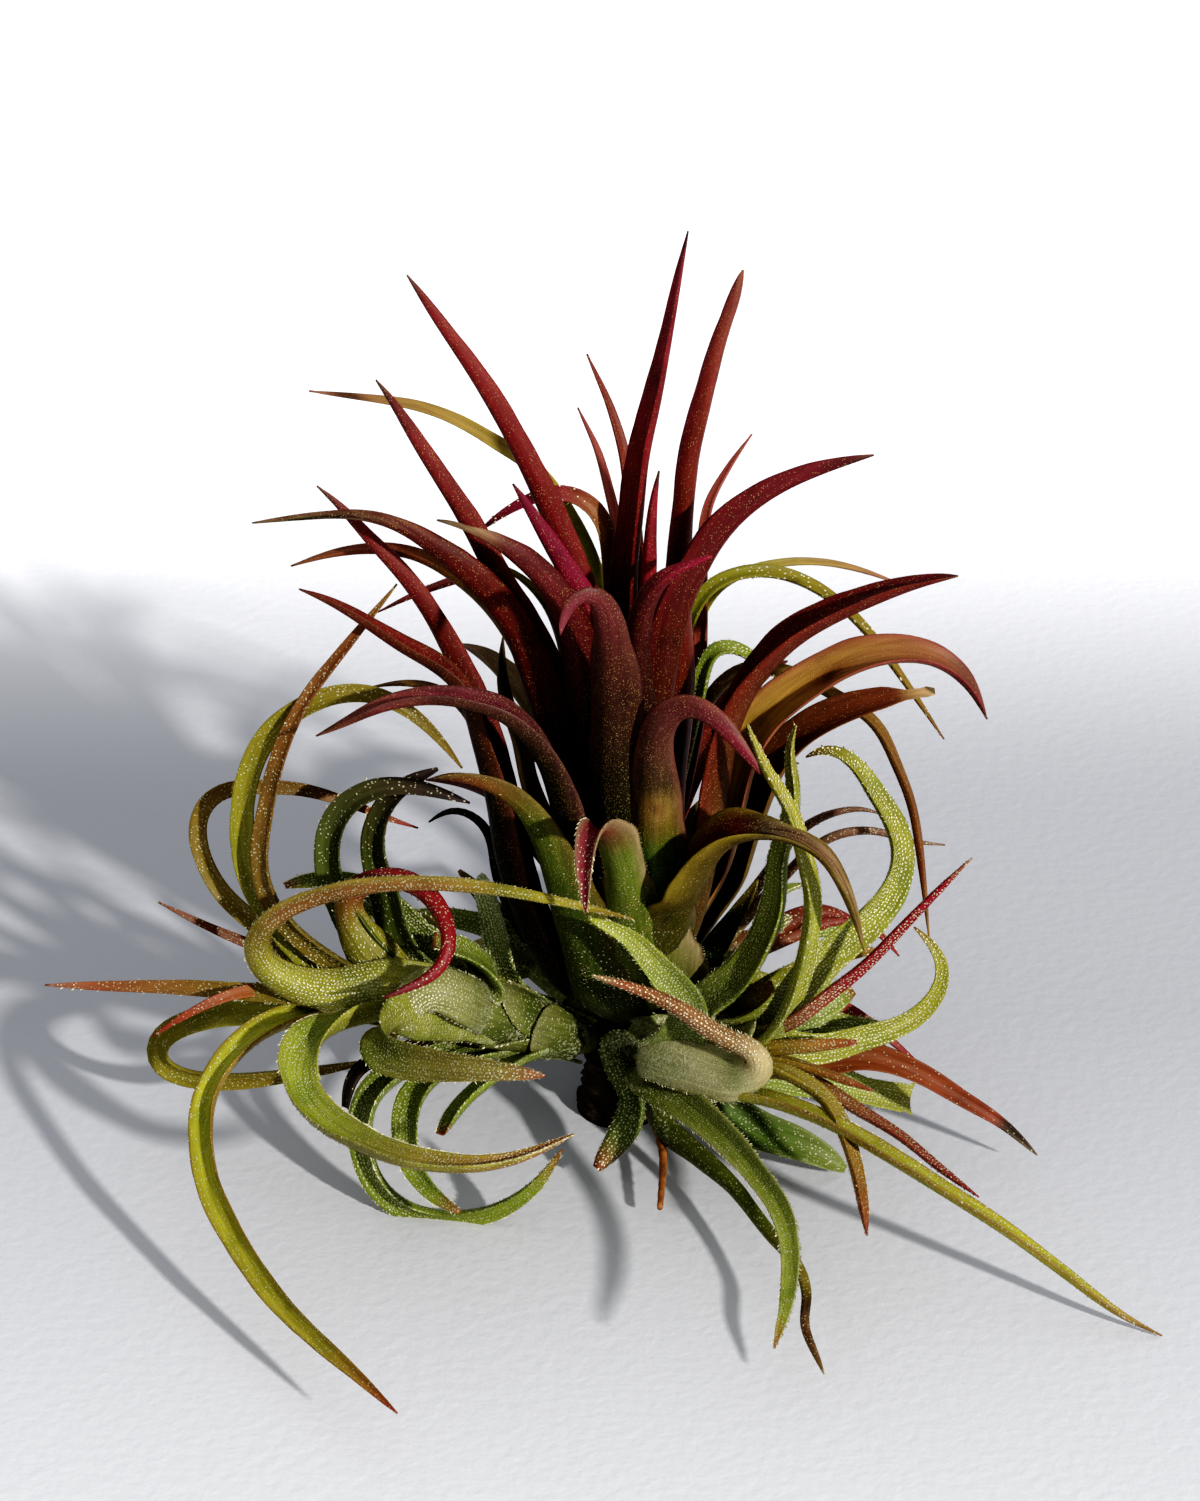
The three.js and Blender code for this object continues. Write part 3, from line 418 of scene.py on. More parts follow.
MAIN_BACK_LEAVES = [
    ("back_long_yellow", "yellow_red_tip", 1.6, (-8, -10, -12, -14),
     [(612, 660), (605, 620), (592, 570), (575, 530), (555, 495), (530, 465), (500, 446), (460, 422),
      (420, 407), (380, 400), (340, 395), (309, 391)]),
    ("back_curl", "curl_red_tip", 2.1, (-5, -6, -7, -8),
     [(612, 650), (608, 560), (600, 517), (580, 497), (558, 492), (530, 500), (505, 513), (478, 532)]),
    ("back_thin_orange", "thin_orange", 1.6, (-3, -5, -6.5, -8),
     [(632, 560), (626, 480), (622, 450), (615, 425), (607, 400), (598, 380), (587, 354)]),
    ("back_thin_pink", "thin_pink", 1.3, (-6, -10, -16),
     [(618, 540), (610, 500), (604, 475), (597, 450), (588, 430), (578, 408)]),
    ("back_thin_right", "thin_pink", 1.4, (-5, -8, -12),
     [(700, 720), (703, 640), (708, 507), (720, 483), (735, 458), (752, 434)]),
    ("back_left_red", "thin_red", 1.2, (-7, -9, -11, -12),
     [(560, 700), (525, 610), (490, 575), (455, 581), (410, 597), (378, 612)]),
    ("back_left_green", "plain_green", 1.2, (-4, -5, -6, -7),
     [(570, 700), (560, 640), (545, 603), (515, 573), (480, 560)]),
    ("back_left_dead", "dry_straw", 2.1, (-4, -4.5, -5),
     [(530, 800), (515, 735), (505, 710), (500, 680), (500, 660), (503, 637)]),
    ("back_left_olive", "plain_olive", 1.3, (-5, -7, -8),
     [(500, 800), (480, 740), (460, 705), (430, 687), (400, 683), (372, 687)]),
    ("back_right_olive", "scaly_olive", 1.7, (-6, -8, -10, -10),
     [(700, 600), (730, 577), (762, 572), (795, 579), (830, 598), (860, 625), (885, 655), (910, 690),
      (944, 739)]),
    ("back_right_tan", "yellow_red_tip", 1, (-10, -13, -16),
     [(690, 650), (715, 590), (745, 572), (780, 563), (820, 562), (860, 570), (903, 585)]),
    ("back_right_arch", "scaly_green", 1.8, (-4, -5, -6),
     [(700, 700), (715, 648), (735, 648), (760, 665), (790, 685)]),
    ("back_right_long", "long_rust", 1.3, (-5, -6, -6, -5, -4),
     [(700, 720), (740, 672), (790, 675), (835, 698), (873, 723), (895, 765), (911, 806), (921, 867),
      (929, 937)]),
]
LEFT_LEAVES = [
    ("front_arc", "yellow_arc", 2.4, (8, 13.5, 18, 25, 32.5, 40, 47.5),
     [(330, 1010), (314, 1015), (281, 1025), (250, 1042), (227, 1066), (210, 1099), (206, 1137),
      (213, 1187), (237, 1238), (270, 1289), (314, 1336), (355, 1373), (397, 1413)]),
    ("ground_loop", "scaly_green", 2.4, (8, 11.5, 14, 15.3, 16, 17, 18),
     [(440, 1060), (400, 1075), (372, 1100), (366, 1140), (378, 1180), (405, 1205), (445, 1217),
      (490, 1210), (530, 1188), (562, 1150)]),
    ("ground_hook", "scaly_green", 2.2, (8, 13, 17, 21),
     [(470, 1060), (430, 1082), (411, 1108), (409, 1140), (416, 1170), (435, 1195), (460, 1212)]),
    ("under_stub", "scaly_green", 1.5, (8, 11, 15),
     [(520, 1060), (485, 1085), (460, 1108), (443, 1135)]),
    ("front_loop", "rust_backed", 3.2, (10, 16, 23, 30, 32, 29),
     [(400, 1012), (381, 1016), (340, 1026), (309, 1044), (296, 1072), (299, 1097), (324, 1126),
      (363, 1148), (409, 1164), (454, 1169), (498, 1166), (536, 1154), (574, 1134)]),
    ("left_hairpin", "furry_brown_tip", 3, (9, 14, 19, 22, 22),
     [(480, 1010), (440, 1015), (400, 1018), (380, 1035), (388, 1055), (430, 1066), (490, 1070),
      (545, 1076)]),
    ("left_ring", "yellow_smooth", 2.3, (7, 1.5, 3, 5, 3),
     [(330, 1005), (280, 1012), (230, 1017), (190, 1025), (162, 1040), (160, 1060), (185, 1074),
      (230, 1078), (280, 1074), (330, 1067), (375, 1060)]),
    ("left_straight", "olive_red", 1.6, (9, 7, 5, 4),
     [(330, 1000), (270, 995), (200, 990), (150, 988), (100, 987), (45, 985)]),
    ("left_orange", "orange_tipped", 1.2, (5, 6, 8, 10, 10),
     [(330, 990), (290, 985), (262, 990), (240, 992), (210, 1002), (180, 1018), (153, 1036)]),
    ("left_dark", "thin_rust", 1.1, (3, 3, 3),
     [(350, 980), (300, 965), (256, 947), (220, 932), (190, 918), (158, 902)]),
    ("over_arch", "rust_topped", 3, (11, 9.5, 10, 12, 14, 15.5),
     [(385, 985), (340, 992), (295, 985), (263, 965), (257, 945), (275, 920), (310, 903), (360, 890),
      (430, 886), (500, 892), (560, 903), (633, 919)]),
    ("red_curl", "bright_red", 3, (9, 7, 8, 13, 16),
     [(400, 985), (370, 950), (350, 920), (348, 900), (365, 886), (395, 880), (425, 893), (443, 920),
      (448, 945), (437, 970), (412, 985), (383, 998)]),
    ("big_arch", "yellow_smooth", 2.2, (7, 5, 4, 3, 3),
     [(340, 975), (270, 905), (252, 870), (246, 820), (250, 780), (265, 742), (295, 712), (335, 695),
      (375, 695), (410, 712), (438, 738), (462, 768)]),
    ("back_arch", "olive_rust", 1.6, (6, 3, 1, 0, -1.5),
     [(330, 980), (262, 925), (225, 893), (203, 855), (197, 825), (207, 799), (230, 787), (265, 786),
      (300, 788), (345, 801), (385, 817), (418, 828)]),
    ("long_rust", "long_rust", 1.6, (8, 7, 6, 5, 2, 0),
     [(360, 975), (320, 950), (290, 925), (270, 895), (262, 860), (266, 820), (275, 775), (288, 735),
      (308, 697), (335, 662), (362, 628), (383, 602), (397, 584)]),
    ("dark_loop", "dark_olive", 2.3, (7, 5.5, 5, 5, 6),
     [(385, 960), (345, 900), (332, 865), (335, 825), (352, 800), (380, 786), (410, 785), (440, 792),
      (470, 803)]),
    ("inner_loop", "dark_olive", 2.2, (6, 3, 2, 1.5),
     [(410, 955), (388, 885), (377, 850), (380, 820), (392, 798), (410, 783), (438, 769)]),
    ("back_blade", "scaly_green", 1.6, (2, 0, -2),
     [(420, 930), (370, 885), (340, 878), (310, 878), (285, 885)]),
    ("small_middle", "furry_green", 2.4, (12, 13, 14),
     [(470, 1000), (430, 985), (405, 1005), (400, 1030)]),
    ("small_upper", "scaly_green", 1.9, (7, 8, 8),
     [(500, 990), (470, 955), (432, 945)]),
    ("dead_stub", "black_stub", 1, (10, 12, 13),
     [(400, 1055), (362, 1066), (350, 1085), (347, 1108)]),
]
RIGHT_LEAVES = [
    ("front_long", "front_green", 2.7, (10, 18, 26, 35, 45),
     [(653, 1079), (691, 1107), (730, 1142), (762, 1181), (784, 1219), (790, 1257), (787, 1299),
      (774, 1348)]),
    ("front_dead_tip", "burnt_tip", 2.2, (8, 14.5, 23, 32, 41.5),
     [(656, 1120), (691, 1152), (730, 1187), (768, 1235), (797, 1267), (806, 1296), (803, 1324),
      (824, 1374)]),
    ("foot_curl", "foot_green", 3, (5, 8, 11, 12.5),
     [(612, 1040), (628, 1079), (637, 1104), (628, 1130), (597, 1169)]),
    ("right_long", "yellow_orange", 2.3, (13, 17.5, 22, 26, 28.5, 30, 31.7),
     [(690, 1090), (760, 1100), (830, 1125), (900, 1165), (945, 1193), (1006, 1232), (1064, 1274),
      (1121, 1316), (1162, 1337)]),
    ("low_green", "smooth_green", 3, (8, 9, 10, 10.5),
     [(707, 1104), (755, 1133), (803, 1149), (845, 1170)]),
    ("right_cut", "pale_green", 2.4, (6, 4, 3),
     [(770, 1072), (826, 1082), (872, 1094), (910, 1100)]),
    ("right_rust", "rust", 2.8, (9, 8, 8.5, 9.5, 10),
     [(790, 1062), (815, 1063), (865, 1056), (914, 1071), (960, 1098), (999, 1121), (1037, 1155)]),
    ("right_back_red", "thin_red", 0.9, (4, 2, 2, 4),
     [(800, 1000), (842, 1006), (872, 1025), (899, 1048), (930, 1075)]),
    ("right_hairpin", "furry_red_tip", 3.5, (10, 15, 17.5, 15.5, 13.5, 12.5),
     [(640, 1045), (690, 1066), (735, 1078), (760, 1070), (749, 1050), (717, 1034), (679, 1008),
      (637, 989), (591, 975)]),
    ("up_left", "furry_green_tip", 2.8, (9, 12, 12, 12, 12.5),
     [(636, 1045), (652, 1058), (672, 1052), (684, 1032), (689, 1006), (673, 983), (653, 961), (628, 935),
      (588, 918)]),
    ("front_thin", "orange_speckled", 1.6, (15, 18, 23, 32),
     [(765, 1066), (793, 1079), (822, 1098), (841, 1130), (854, 1171), (867, 1235)]),
    ("right_short", "orange_speckled", 0.9, (14, 16, 18),
     [(774, 1059), (819, 1072), (873, 1091)]),
    ("right_red", "brown_speckled", 1.5, (15, 18, 21, 24, 27),
     [(811, 1082), (853, 1109), (899, 1136), (937, 1167), (979, 1197)]),
    ("right_curl", "yellow_green", 2.3, (13, 11, 9, 7, 6, 5),
     [(765, 1044), (815, 1048), (861, 1036), (899, 1025), (930, 1002), (943, 971), (933, 945),
      (914, 927)]),
    ("right_small_brown", "orange_speckled", 1.1, (14.5, 15, 15.5),
     [(780, 1050), (810, 1048), (857, 1043)]),
    ("right_speckled", "red_speckled", 1.4, (13, 12, 11, 10),
     [(784, 1025), (826, 994), (865, 964), (899, 929), (937, 891), (972, 858)]),
    ("wide_loop", "yellow_green", 2.8, (12, 9, 6, 2, -1, -3, -4),
     [(770, 1020), (809, 969), (841, 940), (870, 915), (892, 883), (898, 850), (885, 815), (873, 797),
      (854, 765), (829, 749), (806, 757)]),
    ("knobby_front", "knobby_yellow", 1.9, (14, 12, 10.5, 9.5, 8.5),
     [(760, 1045), (785, 1010), (803, 950), (809, 896), (801, 861), (790, 815), (763, 767),
      (747, 724)]),
    ("knobby_back", "knobby_green", 2.2, (9, 8.5, 8, 7, 6),
     [(700, 1010), (735, 985), (765, 945), (782, 895), (782, 860), (795, 820), (796, 780), (790, 750),
      (796, 725)]),
    ("blade_upper", "scaly_green", 2, (8, 7, 5),
     [(760, 1030), (800, 1015), (850, 985)]),
    ("blade_left", "scaly_olive", 1.9, (7, 8, 8),
     [(717, 1012), (745, 1004), (777, 993)]),
]
BACK_RIGHT_LEAVES = [
    ("purple_arch", "purple", 1, (-9, -8, -7),
     [(760, 880), (796, 832), (817, 818), (841, 810), (868, 808), (883, 815)]),
    ("long_thin", "purple", 0.9, (-9, -10, -11),
     [(770, 890), (815, 845), (841, 832), (880, 830), (905, 840), (945, 845)]),
    ("dark_green", "plain_green", 1.6, (-6, -5, -4),
     [(700, 975), (721, 942), (747, 901), (758, 880)]),
    ("pink_blade", "thin_orange", 1.7, (-9, -10, -11),
     [(780, 930), (815, 912), (853, 918)]),
    ("small_spike", "thin_red", 0.9, (-9, -11, -12),
     [(790, 940), (840, 920), (875, 930), (899, 956)]),
]
BACK_LEFT_LEAVES = [
    ("black_thin", "black_stub", 0.9, (-8, -9, -10),
     [(500, 880), (490, 830), (470, 812), (450, 808), (429, 822)]),
    ("dark_spike", "plain_green", 1.2, (-9, -10, -11),
     [(495, 910), (475, 885), (459, 870)]),
]
# A leaf that the picture doesn't show has a name, look, width, length, compass heading, and the climb in
# degrees that it sets off and ends with.
MAIN_HIDDEN = [
    ("far_1", "plain_olive", 3.2, 32, 75, 46, -35),
    ("far_2", "plain_green", 3.2, 32, 107, 46, -35),
    ("far_3", "plain_olive", 3, 26, 52, 56, -15),
    ("far_4", "maroon_arch", 3, 27, 134, 54, -20),
    ("far_5", "maroon_arch", 3.2, 34, 62, 64, -10),
    ("far_6", "plain_olive", 3.2, 36, 118, 64, -10),
    ("far_7", "maroon_arch", 3.4, 42, 90, 66, -8),
    ("far_8", "slender_red", 3, 38, 78, 76, 26),
    ("far_9", "slender_red", 3, 38, 102, 76, 26),
    ("far_10", "maroon_arch", 3.2, 42, 90, 80, 40),
]
LEFT_HIDDEN = [
    ("far_1", "scaly_green", 1.9, 20, 100, 40, -30),
    ("far_2", "scaly_olive", 1.7, 22, 128, 30, -30),
    ("far_3", "scaly_green", 1.9, 18, 150, 50, -10),
]
RIGHT_HIDDEN = [
    ("far_1", "scaly_green", 1.9, 18, 62, 40, -20),
    ("far_2", "scaly_olive", 1.8, 20, 38, 30, -20),
    ("far_3", "scaly_green", 1.9, 17, 18, 10, -20),
]

# %% Leaves that the picture doesn't show
FAN_LEAVES = 7
FAN_WIDTH = 1.9


def fan(first_compass, compass_step):
    """The leaves round a small offset at the back. Every third one droops to the ground."""
    rows = []
    for i in range(FAN_LEAVES):
        rank = i % 3
        tip_climb = -50 if rank == 0 else -20
        look = "scaly_green" if rank else "scaly_olive"
        compass = first_compass + compass_step * i
        length = 19 - 2 * rank
        base_climb = 23 * rank - 9
        rows.append(("far_%d" % (i + 1), look, FAN_WIDTH, length, compass, base_climb, tip_climb))
    return rows


BACK_RIGHT_HIDDEN = fan(5, 22)
BACK_LEFT_HIDDEN = fan(62, 21)
hidden_tables = (MAIN_HIDDEN, LEFT_HIDDEN, RIGHT_HIDDEN, BACK_RIGHT_HIDDEN, BACK_LEFT_HIDDEN)
print("hidden leaves:", sum(len(table) for table in hidden_tables))

# %% [markdown]
# ## The midline of a leaf
# A smooth curve through the measured places gives the midline. It is the same centripetal curve that the
# facet bodies follow, only sampled finely and eased a little, because a measured point is never
# quite on the line.

# %% Midlines
CURVE_STEPS = 24
EASE_SPACING = 0.25
EASE_SPREAD = 1.0
FEWEST_STEPS = 12
FIRST_REACH = 0.6
YOUNGEST_START = 0.85
HIDDEN_STEPS = 7


def along(values, fraction):
    """The value at a fraction from 0 to 1 along a list of evenly spaced values."""
    return float(np.interp(fraction, np.linspace(0, 1, len(values)), values))


def stem_of(head):
    """A head's foot, its growing point and the direction of its stem."""
    foot = seen(*head["foot"])
    point = seen(*head["point"])
    return foot, point, (point - foot) / np.linalg.norm(point - foot)


def measured_route(forward, pixels):
    """The places that a measured leaf passes."""
    steps = np.linalg.norm(np.diff(np.array(pixels, float), axis=0), axis=1)
    reach = np.concatenate([[0], np.cumsum(steps)])
    return [seen(x, y, along(forward, r / reach[-1])) for (x, y), r in zip(pixels, reach)]


def hidden_route(head, length, compass, base_climb, tip_climb):
    """The places that a hidden leaf passes: it sets off at one climb and bends evenly to the other."""
    foot, point, _ = stem_of(head)
    place = (foot + point) / 2
    heading = math.radians(compass)
    route = []
    for i in range(HIDDEN_STEPS):
        climb = math.radians(base_climb + (tip_climb - base_climb) * i / (HIDDEN_STEPS - 1))
        level = math.cos(climb)
        step = np.array([level * math.cos(heading), level * math.sin(heading), math.sin(climb)])
        place = place + step * length / HIDDEN_STEPS
        place[2] = max(place[2], GROUND_CLEARANCE)
        route.append(place.copy())
    return route


def smooth_curve(points):
    """Fine samples of the centripetal curve through some points."""
    points = np.array(points)
    padded = np.vstack([2 * points[0] - points[1], points, 2 * points[-1] - points[-2]])
    knots = np.maximum(np.linalg.norm(np.diff(padded, axis=0), axis=1), 1e-4) ** 0.5
    t = np.linspace(0, 1, CURVE_STEPS, endpoint=False)[:, None]
    samples = []
    for i in range(len(points) - 1):
        a, b, c, d = padded[i:i + 4]
        k0, k1, k2 = knots[i:i + 3]
        leaving = ((b - a) / k0 - (c - a) / (k0 + k1) + (c - b) / k1) * k1
        arriving = ((c - b) / k1 - (d - b) / (k1 + k2) + (d - c) / k2) * k1
        bend = -3 * b + 3 * c - 2 * leaving - arriving
        samples.append(b + leaving * t + bend * t ** 2 + (2 * b - 2 * c + leaving + arriving) * t ** 3)
    return np.vstack([*samples, points[-1:]])


def spaced(points, count):
    """Points at even distances along a line of many points, and the line's length."""
    reach = np.concatenate([[0], np.cumsum(np.linalg.norm(np.diff(points, axis=0), axis=1))])
    wanted = np.linspace(0, reach[-1], count)
    return np.column_stack([np.interp(wanted, reach, points[:, i]) for i in range(3)]), reach[-1]


def eased(points):
    """The same line with the small jumps of measured points taken out. Its ends stay."""
    _, length = spaced(points, 2)
    line, _ = spaced(points, max(int(length / EASE_SPACING), FEWEST_STEPS))
    reach = int(3 * EASE_SPREAD / EASE_SPACING)
    weights = np.exp(-0.5 * (np.arange(-reach, reach + 1) * EASE_SPACING / EASE_SPREAD) ** 2)
    weights /= weights.sum()
    before = 2 * line[0] - line[reach:0:-1]
    after = 2 * line[-1] - line[-2:-reach - 2:-1]
    padded = np.vstack([before, line, after])
    return np.column_stack([np.convolve(padded[:, i], weights, "valid") for i in range(3)])


def midline(head, age, route):
    """A leaf's whole midline, from inside the head's stem outward."""
    foot, point, direction = stem_of(head)
    start = foot + (point - foot) * age
    out = route[0] - start
    out = out - direction * out.dot(direction)
    distance = np.linalg.norm(out)
    out = out * min(1, head["radius"] / distance)
    return eased(smooth_curve([start + FIRST_REACH * out, *route]))


def leaves_of(head, measured, hidden):
    """Every leaf of a head as (name, look, width, midline), the hidden and older ones first."""
    rows = [(name, look, width, hidden_route(head, *bend)) for name, look, width, *bend in hidden]
    rows += [(name, look, width, measured_route(*places)) for name, look, width, *places in measured]
    return [
        (name, look, width, midline(head, YOUNGEST_START * i / len(rows), route))
        for i, (name, look, width, route) in enumerate(rows)
    ]


print("a midline has", len(leaves_of(HEADS["main"], MAIN_LEAVES, [])[0][3]), "fine points")

# %% [markdown]
# ## The blade
# A leaf is a channel: broad and flat where it clasps the stem, narrower and folded up at its edges
# further out, and fleshy in the middle. So a cross-section is swept along the midline. The channel opens
# towards the stem at the base and is carried along the midline without turning, unless a leaf is listed
# with a roll of its own. A slow waver in width and roll keeps two leaves from looking alike.

# %% Blade
BLADE_THICKNESS = 0.8
THIN_BLADE = 0.55
TIP_THICKNESS = 0.14
TIP_WIDTH = 0.16
TAPER = 3
TIP_FULLNESS = 0.62
SHEATH_CHANNEL = 0.14
BLADE_CHANNEL = 0.42
EDGE_THINNING = 0.45
WIDEST_SHEATH = 1.7
STATION_SPACING = 0.55
FEWEST_STATIONS = 24
MOST_STATIONS = 130
TIP_STARTS = 0.85
ROLL_WAVER = 4
ROLL_WAVE_LENGTH = 23
WIDTH_WAVER = 0.03
WIDTH_WAVE_LENGTH = 9
WIDTH_SEED = 500
COLUMNS = 10
PLACES = np.sin(np.linspace(-math.pi / 2, math.pi / 2, COLUMNS + 1))
NO_ROLL = ((0, 0), (1, 0))
USUAL_SHAPE = ((0, 1), (1, 1))
# A leaf's roll in degrees, and its width as a share of the usual one, at fractions of its length.
ROLLS = {
    "tall_middle": ((0, 180), (1, 180)),
    "tall_right": ((0, -70), (1, -70)),
    "right_orange": ((0, 0), (0.3, 40), (0.55, 45), (0.75, 25), (1, 0)),
    "right_maroon": ((0, 0), (0.35, 22), (1, 22)),
    "right_broken": ((0, 0), (0.35, 25), (1, 25)),
    "right_high": ((0, 0), (0.4, 20), (1, 20)),
    "left_arch": ((0, 0), (0.35, -20), (1, -20)),
    "left_dead_end": ((0, 30), (0.6, 45), (1, 45)),
    "tall_left": ((0, 60), (1, 60)),
    "left_red": ((0, 58), (1, 58)),
    "left_slender": ((0, 52), (1, 52)),
    "short_magenta": ((0, 40), (1, 40)),
    "left_shrivelled": ((0, 35), (1, 35)),
    "right_folded": ((0, 0), (0.36, 0), (0.46, 45), (1, 45)),
    "front_loop": ((0, 0), (0.35, 0), (0.5, -60), (1, -60)),
    "over_arch": ((0, -118), (0.4, -112), (0.5, -140), (1, -150)),
    "left_hairpin": ((0, 50), (0.4, 55), (0.55, 0), (0.65, -20), (1, -20)),
    "red_curl": ((0, -115), (0.42, -115), (0.55, -150), (0.7, -185), (1, -195)),
    "right_hairpin": ((0, -100), (0.4, -88), (0.5, -45), (0.6, -6), (1, -8)),
    "up_left": ((0, -68), (0.3, -80), (0.5, -55), (1, -38)),
    "front_long": ((0, 80), (0.35, 87), (0.5, 72), (0.7, 47), (1, 30)),
}
SHAPES = {
    "front_folded": ((0, 2.1), (0.3, 1.9), (0.44, 1.55), (0.58, 0.8), (0.67, 0.85), (0.74, 1), (0.84, 0.75),
                     (1, 0.6)),
    "front_left_broad": ((0, 1.6), (0.4, 1.5), (0.6, 1.1), (0.75, 0.9), (1, 0.85)),
    "right_folded": ((0, 1.7), (0.25, 1.5), (0.38, 1.1), (0.5, 1.3), (0.62, 1.1), (0.67, 0.7),
                     (0.72, 0.45), (0.8, 0.55), (1, 0.5)),
    "front_left_drooping": ((0, 1.05), (0.5, 1), (0.75, 1.1), (0.85, 1), (1, 1)),
    "front_right_drooping": ((0, 1.1), (0.5, 1.05), (0.62, 0.85), (0.7, 0.75), (1, 0.85)),
    "left_dead_end": ((0, 1.1), (0.5, 1.15), (0.72, 1.05), (0.82, 0.6), (0.9, 0.45), (1, 0.6)),
    "left_shrivelled": ((0, 1), (0.5, 1.15), (0.85, 1.15), (0.91, 0.9), (0.95, 0.5), (1, 1)),
    "right_broken": ((0, 0.95), (0.8, 1), (0.9, 1.05), (0.94, 0.7), (0.98, 1), (1, 3.5)),
    "right_orange": ((0, 0.9), (1, 0.9)),
    "right_high": ((0, 1.1), (0.3, 1.25), (1, 1.2)),
    "left_arch": ((0, 1.3), (0.35, 1.55), (0.5, 1.25), (0.7, 1), (1, 0.9)),
    "left_low_arch": ((0, 1.1), (0.35, 1.4), (0.55, 1.15), (0.75, 0.95), (1, 0.9)),
    "tall_left": ((0, 0.8), (0.5, 0.72), (1, 0.74)),
    "left_red": ((0, 0.9), (0.5, 0.78), (1, 0.76)),
    "left_slender": ((0, 0.95), (1, 0.86)),
    "short_magenta": ((0, 1), (0.7, 1.1), (1, 1)),
    "back_right_olive": ((0, 0.8), (1, 0.75)),
    "tall_middle": ((0, 0.74), (0.75, 0.7), (0.87, 0.5), (1, 0.5)),
    "tall_right": ((0, 0.8), (0.38, 0.8), (0.47, 0.66), (0.56, 0.48), (0.65, 0.44), (0.74, 0.5), (0.83, 0.54),
                   (0.93, 0.6), (1, 1)),
    "red_curl": ((0, 1.3), (0.2, 1.25), (0.36, 1.2), (0.46, 0.75), (0.58, 0.66), (1, 0.68)),
    "over_arch": ((0, 1.3), (0.28, 1.25), (0.36, 0.95), (0.46, 0.62), (0.6, 0.56), (1, 0.56)),
    "left_hairpin": ((0, 1.2), (0.35, 1.3), (0.5, 1.15), (1, 1.05)),
    "right_hairpin": ((0, 1.1), (0.38, 1.15), (0.52, 0.65), (0.6, 0.52), (1, 0.5)),
    "up_left": ((0, 1.3), (0.3, 1.15), (0.5, 1), (0.7, 0.85), (1, 0.8)),
    "foot_curl": ((0, 0.7), (0.35, 0.68), (0.5, 0.6), (0.7, 0.78), (1, 0.85)),
    "front_long": ((0, 1), (0.2, 0.85), (0.5, 0.72), (1, 0.72)),
    "right_rust": ((0, 0.9), (0.4, 0.8), (0.8, 0.62), (1, 0.62)),
    "right_curl": ((0, 0.9), (1, 0.85)),
    "right_long": ((0, 0.9), (0.3, 0.75), (1, 0.75)),
    "front_dead_tip": ((0, 0.7), (0.5, 0.55), (0.75, 0.5), (0.85, 0.55), (1, 0.8)),
    "right_cut": ((0, 1), (0.8, 1.1), (0.9, 1.6), (0.97, 3), (1, 9)),
    "right_speckled": ((0, 0.6), (0.4, 0.7), (1, 0.7)),
    "right_red": ((0, 0.7), (1, 0.7)),
}


def values_along(stops, u):
    """The value at fractions of the length, from (fraction, value) pairs."""
    places, values = zip(*stops)
    return np.interp(u, places, values)


def waver(distance, seed, wavelength):
    """A slow seeded waver between about -1 and 1 along a leaf."""
    phases = np.random.default_rng(seed).uniform(0, 2 * math.pi, 3)
    waves = [np.sin(2 * math.pi * distance * k / wavelength + phase) / k for k, phase in enumerate(phases, 1)]
    return sum(waves) / 1.5


def unit(vectors):
    """Vectors scaled to length one."""
    return vectors / np.maximum(np.linalg.norm(vectors, axis=-1, keepdims=True), 1e-9)


def carried_faces(tangents, first):
    """The direction that the channel opens in at each station, carried along without turning."""
    faces = []
    face = first
    for tangent in tangents:
        face = unit(face - tangent * face.dot(tangent))
        faces.append(face)
    return np.array(faces)


